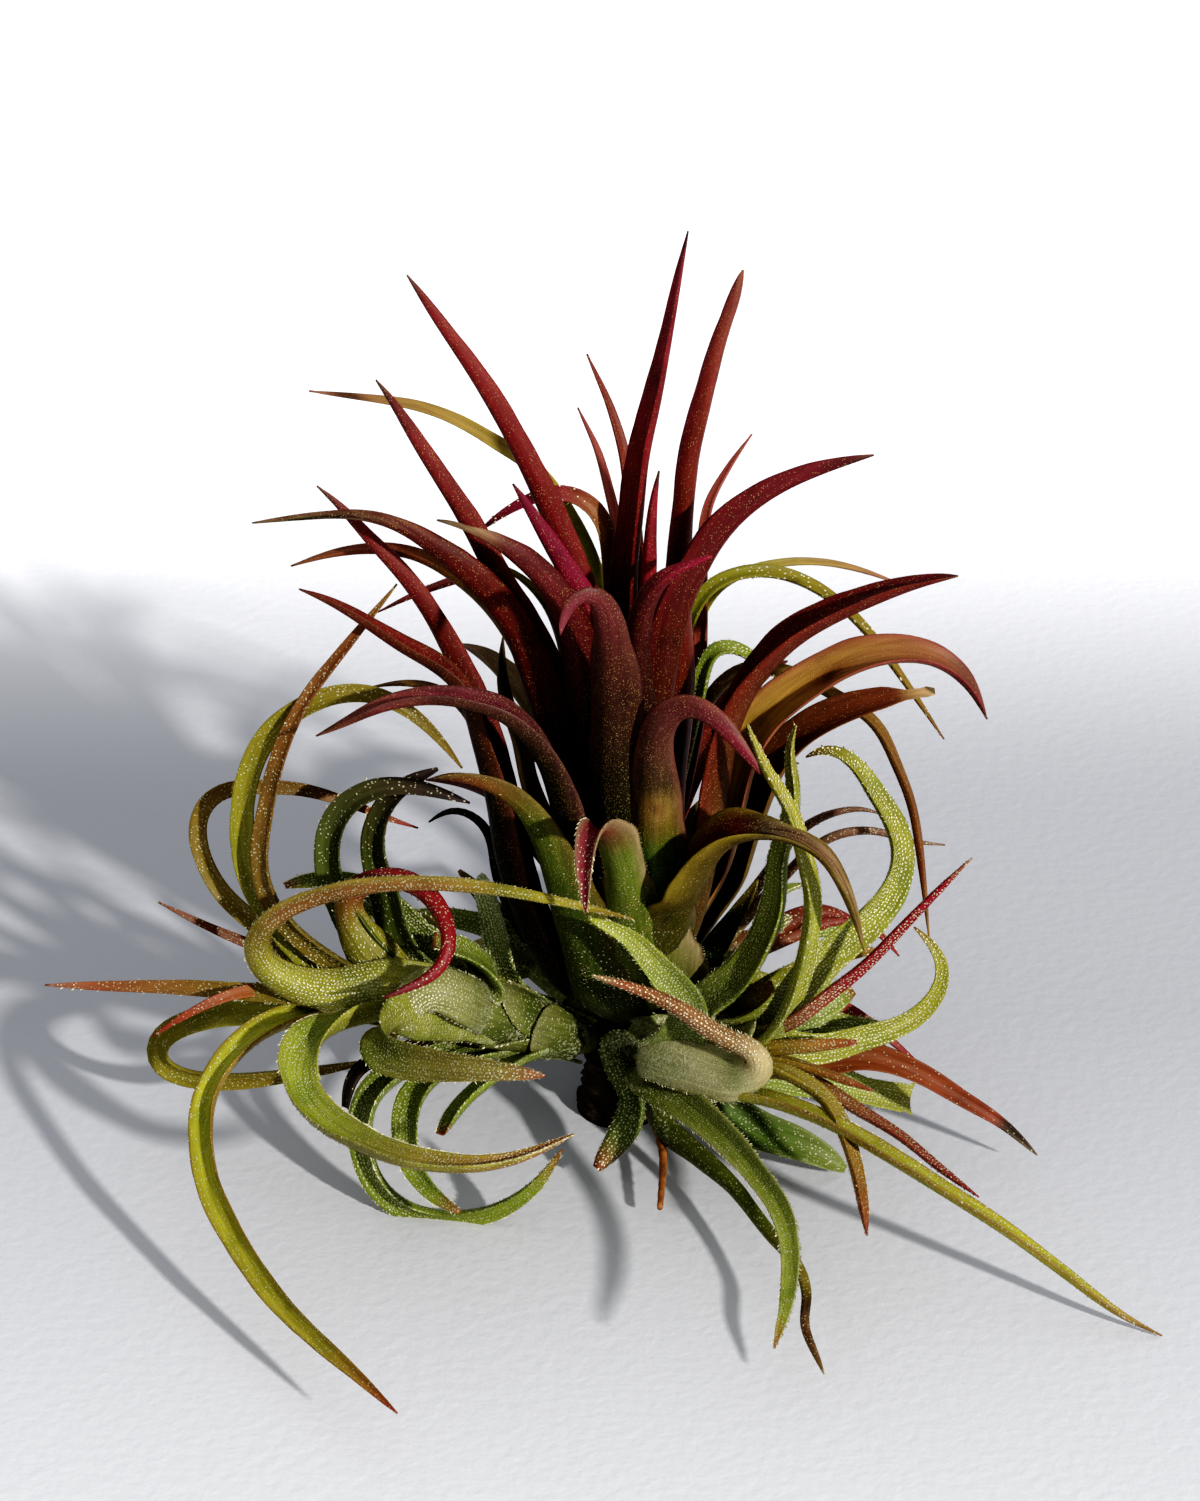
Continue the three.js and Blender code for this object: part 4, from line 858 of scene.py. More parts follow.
def blade(name, number, curve, head, width):
    """The two faces of a leaf as grids of points, one row for each station and one column across."""
    _, length = spaced(curve, 2)
    count = int(np.clip(length / STATION_SPACING, FEWEST_STATIONS, MOST_STATIONS))
    at, _ = spaced(curve, count)
    u = np.linspace(0, 1, count)
    distance = u * length
    tangents = unit(np.gradient(at, axis=0))
    foot, _, direction = stem_of(head)
    middle = at[int(0.55 * count)] - foot
    outward = unit(middle - direction * middle.dot(direction))
    faces = carried_faces(tangents, 0.3 * direction - outward)
    across = np.cross(tangents, faces)
    roll = values_along(ROLLS.get(name, NO_ROLL), u) + ROLL_WAVER * waver(distance, number, ROLL_WAVE_LENGTH)
    roll = np.radians(roll)
    turned = faces * np.cos(roll)[:, None] + across * np.sin(roll)[:, None]
    across = across * np.cos(roll)[:, None] - faces * np.sin(roll)[:, None]
    sheathed = np.exp(-(distance / head["sheath_length"]) ** 2)
    sheath = min(head["sheath"], WIDEST_SHEATH * width)
    broad = sheath * sheathed + np.maximum(width * (1 - u ** TAPER) ** TIP_FULLNESS, TIP_WIDTH) * (1 - sheathed)
    broad = broad * values_along(SHAPES.get(name, USUAL_SHAPE), u)
    broad = broad * (1 + WIDTH_WAVER * waver(distance, number + WIDTH_SEED, WIDTH_WAVE_LENGTH))
    depth = SHEATH_CHANNEL * sheathed + BLADE_CHANNEL * (1 - sheathed)
    channel = depth * np.maximum(broad - TIP_WIDTH, 0)
    tip = np.clip((u - TIP_STARTS) / 0.15, 0, 1) ** 1.5
    thick = (BLADE_THICKNESS + (THIN_BLADE - BLADE_THICKNESS) * u) * (1 - tip) + TIP_THICKNESS * tip
    p = PLACES[None, :]
    centre = at[:, None] + across[:, None] * (p * broad[:, None] / 2)[..., None]
    centre = centre + turned[:, None] * (channel[:, None] * p ** 2)[..., None]
    half = thick[:, None] * (1 - EDGE_THINNING * p ** 2) / 2 * np.sqrt(1 - p ** 8)
    return {
        "u": u, "distance": distance, "broad": broad, "tangents": tangents, "across": across, "faces": turned,
        "outer": centre - turned[:, None] * half[..., None],
        "inner": centre + turned[:, None] * half[..., None],
    }


trial = leaves_of(HEADS["main"], MAIN_LEAVES, [])[-1]
print("stations on the tallest leaf:", len(blade(trial[0], 0, trial[3], HEADS["main"], trial[2])["u"]))

# %% [markdown]
# ## What a leaf looks like
# The colour changes along a leaf: green and grey with scales at its base, then olive, then the red or
# yellow that strong light brings out, and often a dead brown tip. The inner and the outer face differ.
# A look names the colours at fractions of the length, as they look in full light, and how thickly each
# covering grows there. The pigment itself is a darker share of that lit colour. In the main rosette the
# leaves' bases are coloured almost black: that is painted shade, for the deep shade inside the rosette.

# %% Looks
LIT_SHARE = 0.62
PLAIN = ((0, 0.0), (1, 0.0))
SHEATH_FELT = ((0, 0.8), (0.12, 0.6), (0.3, 0.15), (0.5, 0.0), (1, 0.0))
FULL_FELT = ((0, 0.85), (0.3, 0.6), (0.6, 0.25), (1, 0.1))


def look(outer, inner=None, rim=None, felt=SHEATH_FELT, specks=0.7, scales=PLAIN, fringe=PLAIN, fur=PLAIN,
         dry=PLAIN):
    """A leaf's colours and coverings. Each is given as (fraction of the length, value) pairs."""
    return {
        "outer": outer, "inner": inner or outer, "rim": rim, "felt": felt, "specks": specks,
        "scales": scales, "fringe": fringe, "fur": fur, "dry": dry,
    }


ALL_SCALES = ((0, 0.5), (0.15, 1.0), (0.8, 1.0), (1, 0.8))
THIN_SCALES = ((0, 0.4), (0.3, 0.3), (1, 0.15))
BASE_SCALES = ((0, 0.8), (0.3, 0.4), (0.5, 0.05), (1, 0.0))
BASE_FUR = ((0, 0.7), (0.12, 0.5), (0.26, 0.0), (1, 0.0))
LONG_FUR = ((0, 0.9), (0.4, 0.8), (0.6, 0.2), (1, 0.05))
SPARSE_FRINGE = ((0, 0.0), (0.2, 0.3), (1, 0.2))
FULL_FRINGE = ((0, 0.3), (0.15, 1.0), (1, 1.0))
DEAD_QUARTER = ((0, 0.0), (0.76, 0.0), (0.86, 1.0), (1, 1.0))
DEAD_TIP = ((0, 0.0), (0.965, 0.0), (1, 0.7))

LOOKS = {
    # The main rosette. The near-black colours towards the base of these looks are painted shade.
    "crimson": look(((0, "18100c"), (0.3, "28140c"), (0.5, "581c14"), (0.7, "842428"), (0.96, "90303c"),
                     (1, "2c1c20")), dry=DEAD_TIP),
    "magenta": look(((0, "302010"), (0.4, "581c1c"), (0.8, "882440"), (1, "78283c")), specks=0.8),
    "magenta_fold": look(((0, "384818"), (0.35, "28281c"), (0.6, "382018"), (0.85, "5c2828"), (1, "a02c48")),
                         inner=((0, "242010"), (0.5, "4c2420"), (1, "902840")), specks=0.8),
    "maroon_tall": look(((0, "221c10"), (0.3, "3c2216"), (0.55, "6c2020"), (0.95, "883030"), (1, "3c3430")),
                        inner=((0, "1c160e"), (0.3, "3c1a14"), (0.6, "681c18"), (1, "782428")), rim="883834",
                        dry=DEAD_TIP),
    "maroon_high": look(((0, "383818"), (0.35, "482c18"), (0.6, "5c2820"), (0.9, "702830"), (1, "50242c")),
                        inner=((0, "2c2010"), (0.5, "54201c"), (1, "642430")), rim="7c3034", specks=0.6,
                        dry=DEAD_TIP),
    "maroon_arch": look(((0, "444418"), (0.3, "604820"), (0.5, "683c20"), (0.8, "682824"), (0.97, "702428"),
                         (1, "241c1c")),
                        inner=((0, "383818"), (0.3, "5a2919"), (0.6, "6c2418"), (1, "602028")), rim="7c3428",
                        specks=0.9, dry=DEAD_TIP),
    "rust_tall": look(((0, "30180c"), (0.3, "502010"), (0.55, "6c2c1c"), (0.85, "843830"), (1, "98584c")),
                      rim="903040", specks=0.6, dry=DEAD_TIP),
    "slender_red": look(((0, "18100c"), (0.45, "24140c"), (0.65, "5c2018"), (0.9, "803030"), (1, "302424")),
                        rim="88403c", dry=DEAD_TIP),
    "orange_channel": look(((0, "685d1c"), (0.3, "988038"), (0.7, "a88048"), (0.9, "844048"), (1, "2c2420")),
                           inner=((0, "58541c"), (0.3, "b09038"), (0.6, "c49850"), (0.85, "a06848"),
                                  (1, "5a293b")),
                           rim="a04c4c", specks=0.5, dry=DEAD_TIP),
    "broken_orange": look(((0, "403c18"), (0.4, "685420"), (0.9, "80542c"), (0.95, "c8a070"), (1, "d8b888")),
                          inner=((0, "342c14"), (0.5, "5c3c20"), (0.92, "703c24"), (0.96, "c09868"),
                                 (1, "d8b888")),
                          specks=0.4),
    "speckled_arch": look(((0, "202410"), (0.4, "242814"), (0.55, "34301c"), (0.75, "603c34"), (0.9, "803c40"),
                           (1, "a86c50")),
                          inner=((0, "1c1c10"), (0.5, "30241c"), (0.8, "743440"), (1, "a06048")), rim="684440",
                          specks=1.0),
    "low_arch": look(((0, "1c1c10"), (0.45, "242414"), (0.65, "4c2c1c"), (0.85, "703024"), (1, "784034")),
                     inner=((0, "14140c"), (0.45, "281c14"), (0.8, "702824"), (1, "843838")), rim="683c28"),
    "thin_brown": look(((0, "383c20"), (0.4, "6c6028"), (0.65, "84702c"), (0.85, "88402c"), (1, "8c5c3c")),
                       dry=DEAD_TIP),
    "dead_end": look(((0, "18100c"), (0.3, "341810"), (0.65, "601c14"), (0.82, "581c18"), (0.9, "2c2418"),
                      (1, "5c4c34")),
                     inner=((0, "140c08"), (0.4, "481810"), (0.75, "702824"), (0.88, "2c2018"), (1, "5c4830")),
                     rim="68281c", dry=DEAD_QUARTER),
    "shrivelled": look(((0, "18100c"), (0.4, "24140c"), (0.7, "582020"), (0.88, "702c30"), (0.95, "9c7c5c"),
                        (1, "504438")), dry=((0, 0.0), (0.9, 0.0), (0.95, 1.0), (1, 1.0))),
    # Darkened all along as painted shade, for the shadow that the leaves on the right cast on this leaf.
    "droop_brown": look(((0, "202c10"), (0.35, "243014"), (0.55, "302818"), (0.78, "502c24"), (0.92, "703438"),
                         (1, "984858")),
                        inner=((0, "141008"), (0.5, "3c1c18"), (0.9, "8c4048"), (1, "b05064")), rim="643c34",
                        specks=1.0),
    "droop_green": look(((0, "38481c"), (0.47, "4c6424"), (0.53, "70602c"), (0.62, "50402c"), (0.85, "6c3438"),
                         (1, "902c44")),
                        inner=((0, "303c18"), (0.5, "503c28"), (0.85, "843040"), (1, "882844")), rim="885048",
                        specks=1.0),
    "folded_green": look(((0, "444c1c"), (0.4, "5c6828"), (0.68, "6c7c34"), (0.8, "885044"), (1, "98484c")),
                         inner=((0, "384020"), (0.6, "783c38"), (1, "983c4c")), rim="c0a480",
                         scales=((0, 0.2), (0.5, 0.35), (1, 0.5)), fringe=FULL_FRINGE, specks=1.0),
    # Darkened as painted shade, for the shade that the leaves above cast on it.
    "broad_green": look(((0, "344018"), (0.45, "3c4c18"), (0.75, "546020"), (0.9, "80502c"), (1, "241c18")),
                        rim="706030", specks=1.0, scales=BASE_SCALES, dry=DEAD_TIP),
    "folded_burnt": look(((0, "545c24"), (0.3, "484c20"), (0.6, "645428"), (0.67, "241c14"), (0.74, "15100c"),
                          (0.8, "8c6844"), (1, "b09060")),
                         inner=((0, "545c24"), (0.35, "44341c"), (0.6, "682c1c"), (0.68, "15100c"),
                                (0.8, "846044"), (1, "a88858")), rim="917f2d",
                         specks=1.0, scales=BASE_SCALES, dry=((0, 0.0), (0.64, 0.0), (0.7, 1.0), (1, 1.0))),
    "yellow_red_tip": look(((0, "787c28"), (0.6, "a8a038"), (0.88, "a88450"), (1, "a86c60")), specks=0.5),
    "scaly_olive": look(((0, "585c24"), (0.5, "848428"), (0.85, "8c7430"), (1, "8c643c")),
                        scales=THIN_SCALES, fringe=SPARSE_FRINGE, specks=1.0),
    "curl_red_tip": look(((0, "646426"), (0.55, "a88a32"), (0.78, "94603c"), (0.88, "a02c4c"), (1, "5a2933")),
                         scales=THIN_SCALES, fringe=SPARSE_FRINGE, specks=1.0),
    "scaly_green": look(((0, "687434"), (0.4, "788838"), (0.9, "889834"), (1, "985c34")),
                        scales=ALL_SCALES, fringe=FULL_FRINGE, felt=FULL_FELT, fur=BASE_FUR, specks=0.9),
    "front_green": look(((0, "707838"), (0.4, "849040"), (0.9, "98a440"), (1, "a86438")),
                        rim="b8b878", scales=ALL_SCALES, fringe=FULL_FRINGE, fur=BASE_FUR, specks=1.0),
    "smooth_green": look(((0, "546438"), (0.6, "5c7438"), (1, "808c48")), rim="8c9860",
                         scales=THIN_SCALES, fringe=SPARSE_FRINGE, specks=0.6),
    "orange_tipped": look(((0, "787830"), (0.5, "a08c3c"), (0.75, "a05c38"), (1, "983c30")), specks=0.8,
                          fringe=SPARSE_FRINGE),
    # The dark bases of these two looks, worn by hidden and back leaves, are painted shade from inside the
    # heads.
    "plain_green": look(((0, "30381c"), (0.5, "44501c"), (1, "746428")), specks=0.8),
    "plain_olive": look(((0, "2c2c18"), (0.5, "545020"), (1, "785430")), specks=0.8),
    "thin_orange": look(((0, "605028"), (0.4, "7c4028"), (1, "803830")), specks=0.8),
    "thin_pink": look(((0, "785c30"), (0.4, "94503c"), (1, "a85850")), specks=0.7),
    "thin_rust": look(((0, "4c4424"), (0.5, "6c4428"), (1, "7c4c38")), specks=0.8),
    "thin_red": look(((0, "746030"), (0.4, "884030"), (1, "984040")), specks=0.7, fringe=SPARSE_FRINGE),
    "dry_straw": look(((0, "584c20"), (0.7, "94783c"), (0.82, "382c20"), (1, "1c1814")),
                      specks=0.1, dry=((0, 0.0), (0.5, 0.2), (0.8, 0.6), (1, 0.8))),
    "black_stub": look(((0, "2c241c"), (1, "1c1818")), felt=PLAIN, specks=0.1, dry=((0, 0.3), (1, 0.5))),
    # The offsets.
    "yellow_arc": look(((0, "989c38"), (0.3, "9c9834"), (0.7, "987034"), (1, "9c4430")),
                       inner=((0, "a0a440"), (0.5, "b8b83c"), (0.85, "b0a438"), (1, "a04030")), rim="8c6430",
                       scales=BASE_SCALES, fur=BASE_FUR, specks=0.9),
    "rust_backed": look(((0, "7c8434"), (0.4, "888834"), (0.8, "98883c"), (1, "a05038")),
                        inner=((0, "88943c"), (0.6, "9ca83c"), (1, "a05038")), rim="a8a848",
                        scales=ALL_SCALES, fringe=FULL_FRINGE, felt=FULL_FELT, fur=BASE_FUR, specks=1.0),
    "furry_brown_tip": look(((0, "98a048"), (0.45, "949844"), (0.6, "787c34"), (0.9, "8c7c44"), (1, "98503c")),
                            scales=ALL_SCALES, fringe=FULL_FRINGE, felt=FULL_FELT, fur=LONG_FUR, specks=1.0),
    # The pale base is partly the grey fur and partly painted light, brightened where the base lies in shade.
    "furry_red_tip": look(((0, "b0b080"), (0.45, "c4c08c"), (0.6, "a88058"), (0.92, "a86040"), (1, "d0b088")),
                          scales=ALL_SCALES, fringe=FULL_FRINGE, felt=FULL_FELT, fur=LONG_FUR, specks=1.0),
    "furry_green": look(((0, "788048"), (1, "a4a468")), scales=ALL_SCALES, fringe=FULL_FRINGE,
                        felt=FULL_FELT, fur=LONG_FUR, specks=0.8),
    "furry_green_tip": look(((0, "808850"), (0.5, "7c8c44"), (1, "a4ac40")),
                            scales=ALL_SCALES, fringe=FULL_FRINGE, felt=FULL_FELT, fur=LONG_FUR, specks=0.9),
    "yellow_green": look(((0, "7c8438"), (0.4, "949834"), (0.9, "9c9c38"), (1, "8c6838")),
                         scales=ALL_SCALES, fringe=SPARSE_FRINGE, fur=BASE_FUR, specks=0.9),
    "yellow_smooth": look(((0, "8c9038"), (0.5, "989434"), (1, "78602c")),
                          scales=BASE_SCALES, fur=BASE_FUR, specks=0.9),
    "olive_rust": look(((0, "747434"), (0.4, "8c7c34"), (0.85, "7c5830"), (1, "903834")),
                       scales=BASE_SCALES, specks=0.9),
    "olive_red": look(((0, "808034"), (0.5, "8c8034"), (0.9, "9c5c40"), (1, "b07860")),
                      scales=BASE_SCALES, fringe=SPARSE_FRINGE, specks=0.9),
    "rust_topped": look(((0, "b0b048"), (0.38, "a8a840"), (0.5, "886038"), (0.72, "986c40"), (0.88, "aca438"),
                         (1, "8c6c34")),
                        rim="b0a048", scales=ALL_SCALES, fringe=FULL_FRINGE, felt=FULL_FELT, fur=BASE_FUR,
                        specks=1.0),
    "clasping_green": look(((0, "343c1c"), (0.5, "646c34"), (1, "8c8c5c")), scales=ALL_SCALES,
                           fringe=FULL_FRINGE, felt=FULL_FELT, fur=((0, 0.6), (0.5, 0.9), (1, 1.0)),
                           specks=0.9),
    "bright_red": look(((0, "8c8c43"), (0.42, "8c8838"), (0.56, "8c3030"), (0.85, "902830"), (1, "783438")),
                       scales=((0, 0.6), (0.55, 0.3), (1, 0.1)), fringe=SPARSE_FRINGE, specks=1.0),
    "long_rust": look(((0, "787834"), (0.4, "7c6830"), (0.9, "845030"), (1, "a07c48")),
                      scales=BASE_SCALES, specks=0.9),
    "dark_olive": look(((0, "647038"), (0.5, "5c6834"), (0.85, "443c2c"), (1, "382c30")),
                       scales=THIN_SCALES, fringe=SPARSE_FRINGE, fur=BASE_FUR, specks=0.25),
    "burnt_tip": look(((0, "50582c"), (0.5, "68702c"), (0.72, "8c7c34"), (0.79, "402814"), (0.88, "8c6038"),
                       (1, "b89468")), specks=0.8, dry=((0, 0.0), (0.74, 0.0), (0.82, 1.0), (1, 1.0))),
    "foot_green": look(((0, "606c3c"), (0.8, "6c7c3c"), (1, "985840")), scales=ALL_SCALES,
                       fringe=FULL_FRINGE, felt=FULL_FELT, fur=BASE_FUR, specks=0.8),
    "pale_green": look(((0, "788844"), (0.6, "90a044"), (1, "a8a84c")), scales=ALL_SCALES,
                       fringe=FULL_FRINGE, felt=FULL_FELT, specks=0.8),
    "yellow_orange": look(((0, "8c9044"), (0.4, "a8a43c"), (0.85, "b4b03c"), (1, "a87850")), rim="987044",
                          scales=((0, 0.8), (0.4, 0.5), (1, 0.5)), fringe=SPARSE_FRINGE, fur=BASE_FUR,
                          specks=1.0),
    "rust": look(((0, "584c24"), (0.3, "7c4c28"), (0.84, "944830"), (0.88, "241c14"), (1, "54443c")),
                 specks=0.3, dry=((0, 0.0), (0.84, 0.0), (0.9, 0.7), (1, 0.8))),
    "orange_speckled": look(((0, "8c843c"), (0.5, "a08c3c"), (0.9, "a06038"), (1, "904c34")),
                            scales=ALL_SCALES, fringe=SPARSE_FRINGE, specks=1.0),
    "red_speckled": look(((0, "8c803c"), (0.3, "946448"), (0.5, "8c2c34"), (0.9, "902434"), (1, "b08060")),
                         scales=ALL_SCALES, specks=1.0),
    "brown_speckled": look(((0, "8c803c"), (0.3, "987840"), (0.6, "94543c"), (1, "903838")),
                           scales=ALL_SCALES, specks=1.0),
    "knobby_yellow": look(((0, "8c9040"), (0.5, "a0a43c"), (1, "b0a848")), scales=ALL_SCALES,
                          fringe=FULL_FRINGE, specks=1.0),
    "knobby_green": look(((0, "748038"), (0.6, "8c9834"), (1, "a49c3c")), scales=ALL_SCALES,
                         fringe=FULL_FRINGE, fur=BASE_FUR, specks=1.0),
    "purple": look(((0, "6c5c38"), (0.5, "7c5844"), (1, "8c6c5c")), specks=1.0, scales=THIN_SCALES),
}
used_looks = {row[1] for rows in (MAIN_LEAVES, MAIN_BACK_LEAVES, LEFT_LEAVES, RIGHT_LEAVES) for row in rows}
print(len(LOOKS), "looks, without one:", sorted(used_looks - set(LOOKS)))


def pigment_of(code):
    """The linear pigment that gives a colour in full light."""
    return [LIT_SHARE * c for c in linear(code)[:3]] + [1.0]


def colours_along(stops, u):
    """The linear pigment at fractions of the length."""
    places, codes = zip(*stops)
    channels = np.array([pigment_of(code) for code in codes])
    return np.column_stack([np.interp(u, places, channels[:, i]) for i in range(4)])

# %% [markdown]
# ## From grids to a mesh
# The two faces of a leaf meet at its edges, so each station gives one closed ring of points. Rings are
# joined by four-sided faces, and the two ends are closed. Colour, felt, specks and dryness are stored on
# the points, where the materials read them.

# %% Leaf mesh
RIM_STARTS = 0.7
RIM_SHARE = 0.8
GRAIN_STEP = 61
RING = 2 * COLUMNS
# Scars: fraction of the length, place across from -1 to 1, reach along in mm, spread across, colour.
SPOTS = {
    "right_orange": ((0.69, 0.1, 1.5, 0.4, "98582c"), (0.69, 0.1, 0.7, 0.22, "4c2414")),
    "front_right_drooping": ((0.575, -0.1, 1.1, 0.5, "b08c50"), (0.575, -0.1, 0.6, 0.25, "442410")),
    "right_folded": ((0.6, 0.0, 0.7, 0.3, "5c3418"),),
}


def ring_rows(outer, inner):
    """Rings of points: across the outer face, then back across the inner face without its edges."""
    return np.concatenate([outer, inner[:, -2:0:-1]], axis=1)


def leaf_data(name, number, look_name, leaf):
    """The points, faces and stored values of one leaf."""
    own = LOOKS[look_name]
    u = leaf["u"]
    rows = len(u)
    points = ring_rows(leaf["outer"], leaf["inner"]).reshape(-1, 3)
    outer, inner = [np.repeat(colours_along(own[side], u)[:, None], COLUMNS + 1, axis=1)
                    for side in ("outer", "inner")]
    if own["rim"]:
        share = np.clip((np.abs(PLACES) - RIM_STARTS) / (1 - RIM_STARTS), 0, 1)[None, :, None]
        share = share * np.clip((u - 0.15) / 0.2, 0, 1)[:, None, None] * RIM_SHARE
        rim = np.array(pigment_of(own["rim"]))
        outer, inner = [side * (1 - share) + rim * share for side in (outer, inner)]
    for where, place, reach, spread, code in SPOTS.get(name, ()):
        away = (leaf["distance"][:, None] - where * leaf["distance"][-1]) / reach
        share = np.exp(-away ** 2 - ((PLACES[None, :] - place) / spread) ** 2)[..., None]
        scar = np.array(pigment_of(code))
        outer, inner = [side * (1 - share) + scar * share for side in (outer, inner)]
    ring_places = np.concatenate([PLACES, PLACES[-2:0:-1]])
    grain = np.zeros((rows, RING, 3))
    grain[..., 0] = leaf["distance"][:, None] + GRAIN_STEP * number
    grain[..., 1] = ring_places[None, :] * leaf["broad"][:, None] / 2
    row, column = np.meshgrid(np.arange(rows - 1), np.arange(RING), indexing="ij")
    a = row * RING + column
    b = row * RING + (column + 1) % RING
    faces = np.stack([a, a + RING, b + RING, b], axis=-1).reshape(-1, 4).tolist()
    faces.append(list(range(RING)))
    faces.append(list(range(rows * RING - 1, (rows - 1) * RING - 1, -1)))
    return {
        "points": points, "faces": faces,
        "pigment": ring_rows(outer, inner).reshape(-1, 4),
        "grain": grain.reshape(-1, 3),
        "felt": np.repeat(values_along(own["felt"], u), RING),
        "specks": np.full(rows * RING, float(own["specks"])),
        "dry": np.repeat(values_along(own["dry"], u), RING),
    }


STORED = {"pigment": ("FLOAT_COLOR", "color"), "grain": ("FLOAT_VECTOR", "vector"), "felt": ("FLOAT", "value"),
          "specks": ("FLOAT", "value"), "dry": ("FLOAT", "value")}


def tube_faces(rings, sides):
    """Faces between rings of points that follow each other, and a face over each end."""
    faces = []
    for ring in range(rings - 1):
        for i in range(sides):
            a = ring * sides + i
            b = ring * sides + (i + 1) % sides
            faces.append([a, b, b + sides, a + sides])
    faces.append(list(range(sides))[::-1])
    faces.append(list(range((rings - 1) * sides, rings * sides)))
    return faces


def joined(parts):
    """Several parts as one, with their faces renumbered."""
    whole = {key: np.concatenate([part[key] for part in parts]) for key in parts[0] if key != "faces"}
    whole["faces"] = []
    start = 0
    for part in parts:
        whole["faces"] += [[corner + start for corner in face] for face in part["faces"]]
        start += len(part["points"])
    return whole


def new_object(name, data, material):
    """A mesh object in metres that rides on the plant's one body."""
    mesh = bpy.data.meshes.new(name)
    mesh.from_pydata((data["points"] * MM).tolist(), [], data["faces"])
    for key, (kind, field) in STORED.items():
        if key in data:
            stored = mesh.attributes.new(key, kind, "POINT")
            stored.data.foreach_set(field, np.asarray(data[key], np.float32).ravel())
    mesh.materials.append(material)
    mesh.shade_smooth()
    piece = bpy.data.objects.new(name, mesh)
    bpy.context.collection.objects.link(piece)
    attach(piece, "root")
    return piece


# %% [markdown]
# ## Scales and felt
# Each tiny scale is a thin plate that stands up from the leaf on its far side, so light catches its rim.
# On most rosette leaves the scales are too fine to model, and the material paints them. On the offsets and
# on a few green rosette leaves they are large and set in rows, some with a fringe along each edge, so there
# they are real plates. The leaf bases have a short dense fur as well.

# %% Scales, fringe and fur
SCALE_SPACING = 0.31
SCALE_LENGTH = 0.088
SCALE_WIDTH = 0.066
SCALE_LIFT = math.radians(24)
FRINGE_SPACING = 0.24
FRINGE_LENGTH = 0.15
FRINGE_LIFT = math.radians(38)
FUR_SPACING = 0.22
FUR_LENGTH = 0.26
FUR_WIDTH = 0.05
LANES_EACH_WAY = 17
LANE_SHARE = 0.87
EDGE_SHARE = 0.97
PLATE_CORNERS = 6
HAIR_CORNERS = 3
DRAW_SEED = 1000
OVAL_ANGLES = np.linspace(0, 2 * math.pi, PLATE_CORNERS + 1)[:PLATE_CORNERS]
OVAL = np.array([(math.cos(a), math.sin(a)) for a in OVAL_ANGLES])


def surface_at(leaf, side, rows, columns):
    """Points, outward normals and lengthwise directions at places on one face of a leaf."""
    grid = leaf[side]
    slope_along = np.gradient(grid, axis=0)
    slope_across = np.gradient(grid, axis=1)
    normals = unit(np.cross(slope_along, slope_across))
    if side == "inner":
        normals = -normals
    r0 = np.clip(rows.astype(int), 0, grid.shape[0] - 2)
    c0 = np.clip(columns.astype(int), 0, grid.shape[1] - 2)
    fr = (rows - r0)[:, None]
    fc = (columns - c0)[:, None]

    def blended(values):
        low = values[r0, c0] * (1 - fc) + values[r0, c0 + 1] * fc
        high = values[r0 + 1, c0] * (1 - fc) + values[r0 + 1, c0 + 1] * fc
        return low * (1 - fr) + high * fr

    return blended(grid), unit(blended(normals)), unit(blended(slope_along))


def lanes(leaf, spacing, amounts, draw):
    """Rows and columns of places set in lengthwise lanes, kept by chance where a covering is thin."""
    length = leaf["distance"][-1]
    last_row = len(leaf["u"]) - 1
    lane_numbers = np.arange(-LANES_EACH_WAY, LANES_EACH_WAY + 1)
    steps = np.arange(0.4, length - 0.2, spacing)
    along_mm, lane = np.meshgrid(steps, lane_numbers, indexing="ij")
    along_mm = along_mm + spacing * (0.5 * (lane % 2) + draw.uniform(-0.28, 0.28, along_mm.shape))
    across_mm = lane * spacing * LANE_SHARE + draw.uniform(-0.2, 0.2, along_mm.shape) * spacing
    rows = np.clip(along_mm / length * last_row, 0, last_row)
    half = np.interp(rows, np.arange(last_row + 1), leaf["broad"]) / 2
    p = across_mm / np.maximum(half, 0.05)
    wanted = values_along(amounts, rows / last_row)
    kept = (np.abs(p) < EDGE_SHARE) & (draw.uniform(0, 1, p.shape) < wanted)
    columns = (np.arcsin(np.clip(p[kept], -1, 1)) / math.pi + 0.5) * COLUMNS
    return rows[kept], columns


def plates(at, length_way, width_way, length, width, size):
    """Flat oval plates, as points and faces."""
    ovals = OVAL[None, :, 0, None] * length_way[:, None] * (length * size)[:, None, None]
    ovals = ovals + OVAL[None, :, 1, None] * width_way[:, None] * (width * size)[:, None, None]
    points = (at[:, None] + ovals).reshape(-1, 3)
    return points, np.arange(len(points)).reshape(-1, PLATE_CORNERS).tolist()


def covering(points, faces, corners, pigment):
    """Points and faces with the pigment that each plate or hair stands on."""
    return {"points": points, "faces": faces, "pigment": np.repeat(pigment, corners, axis=0)}


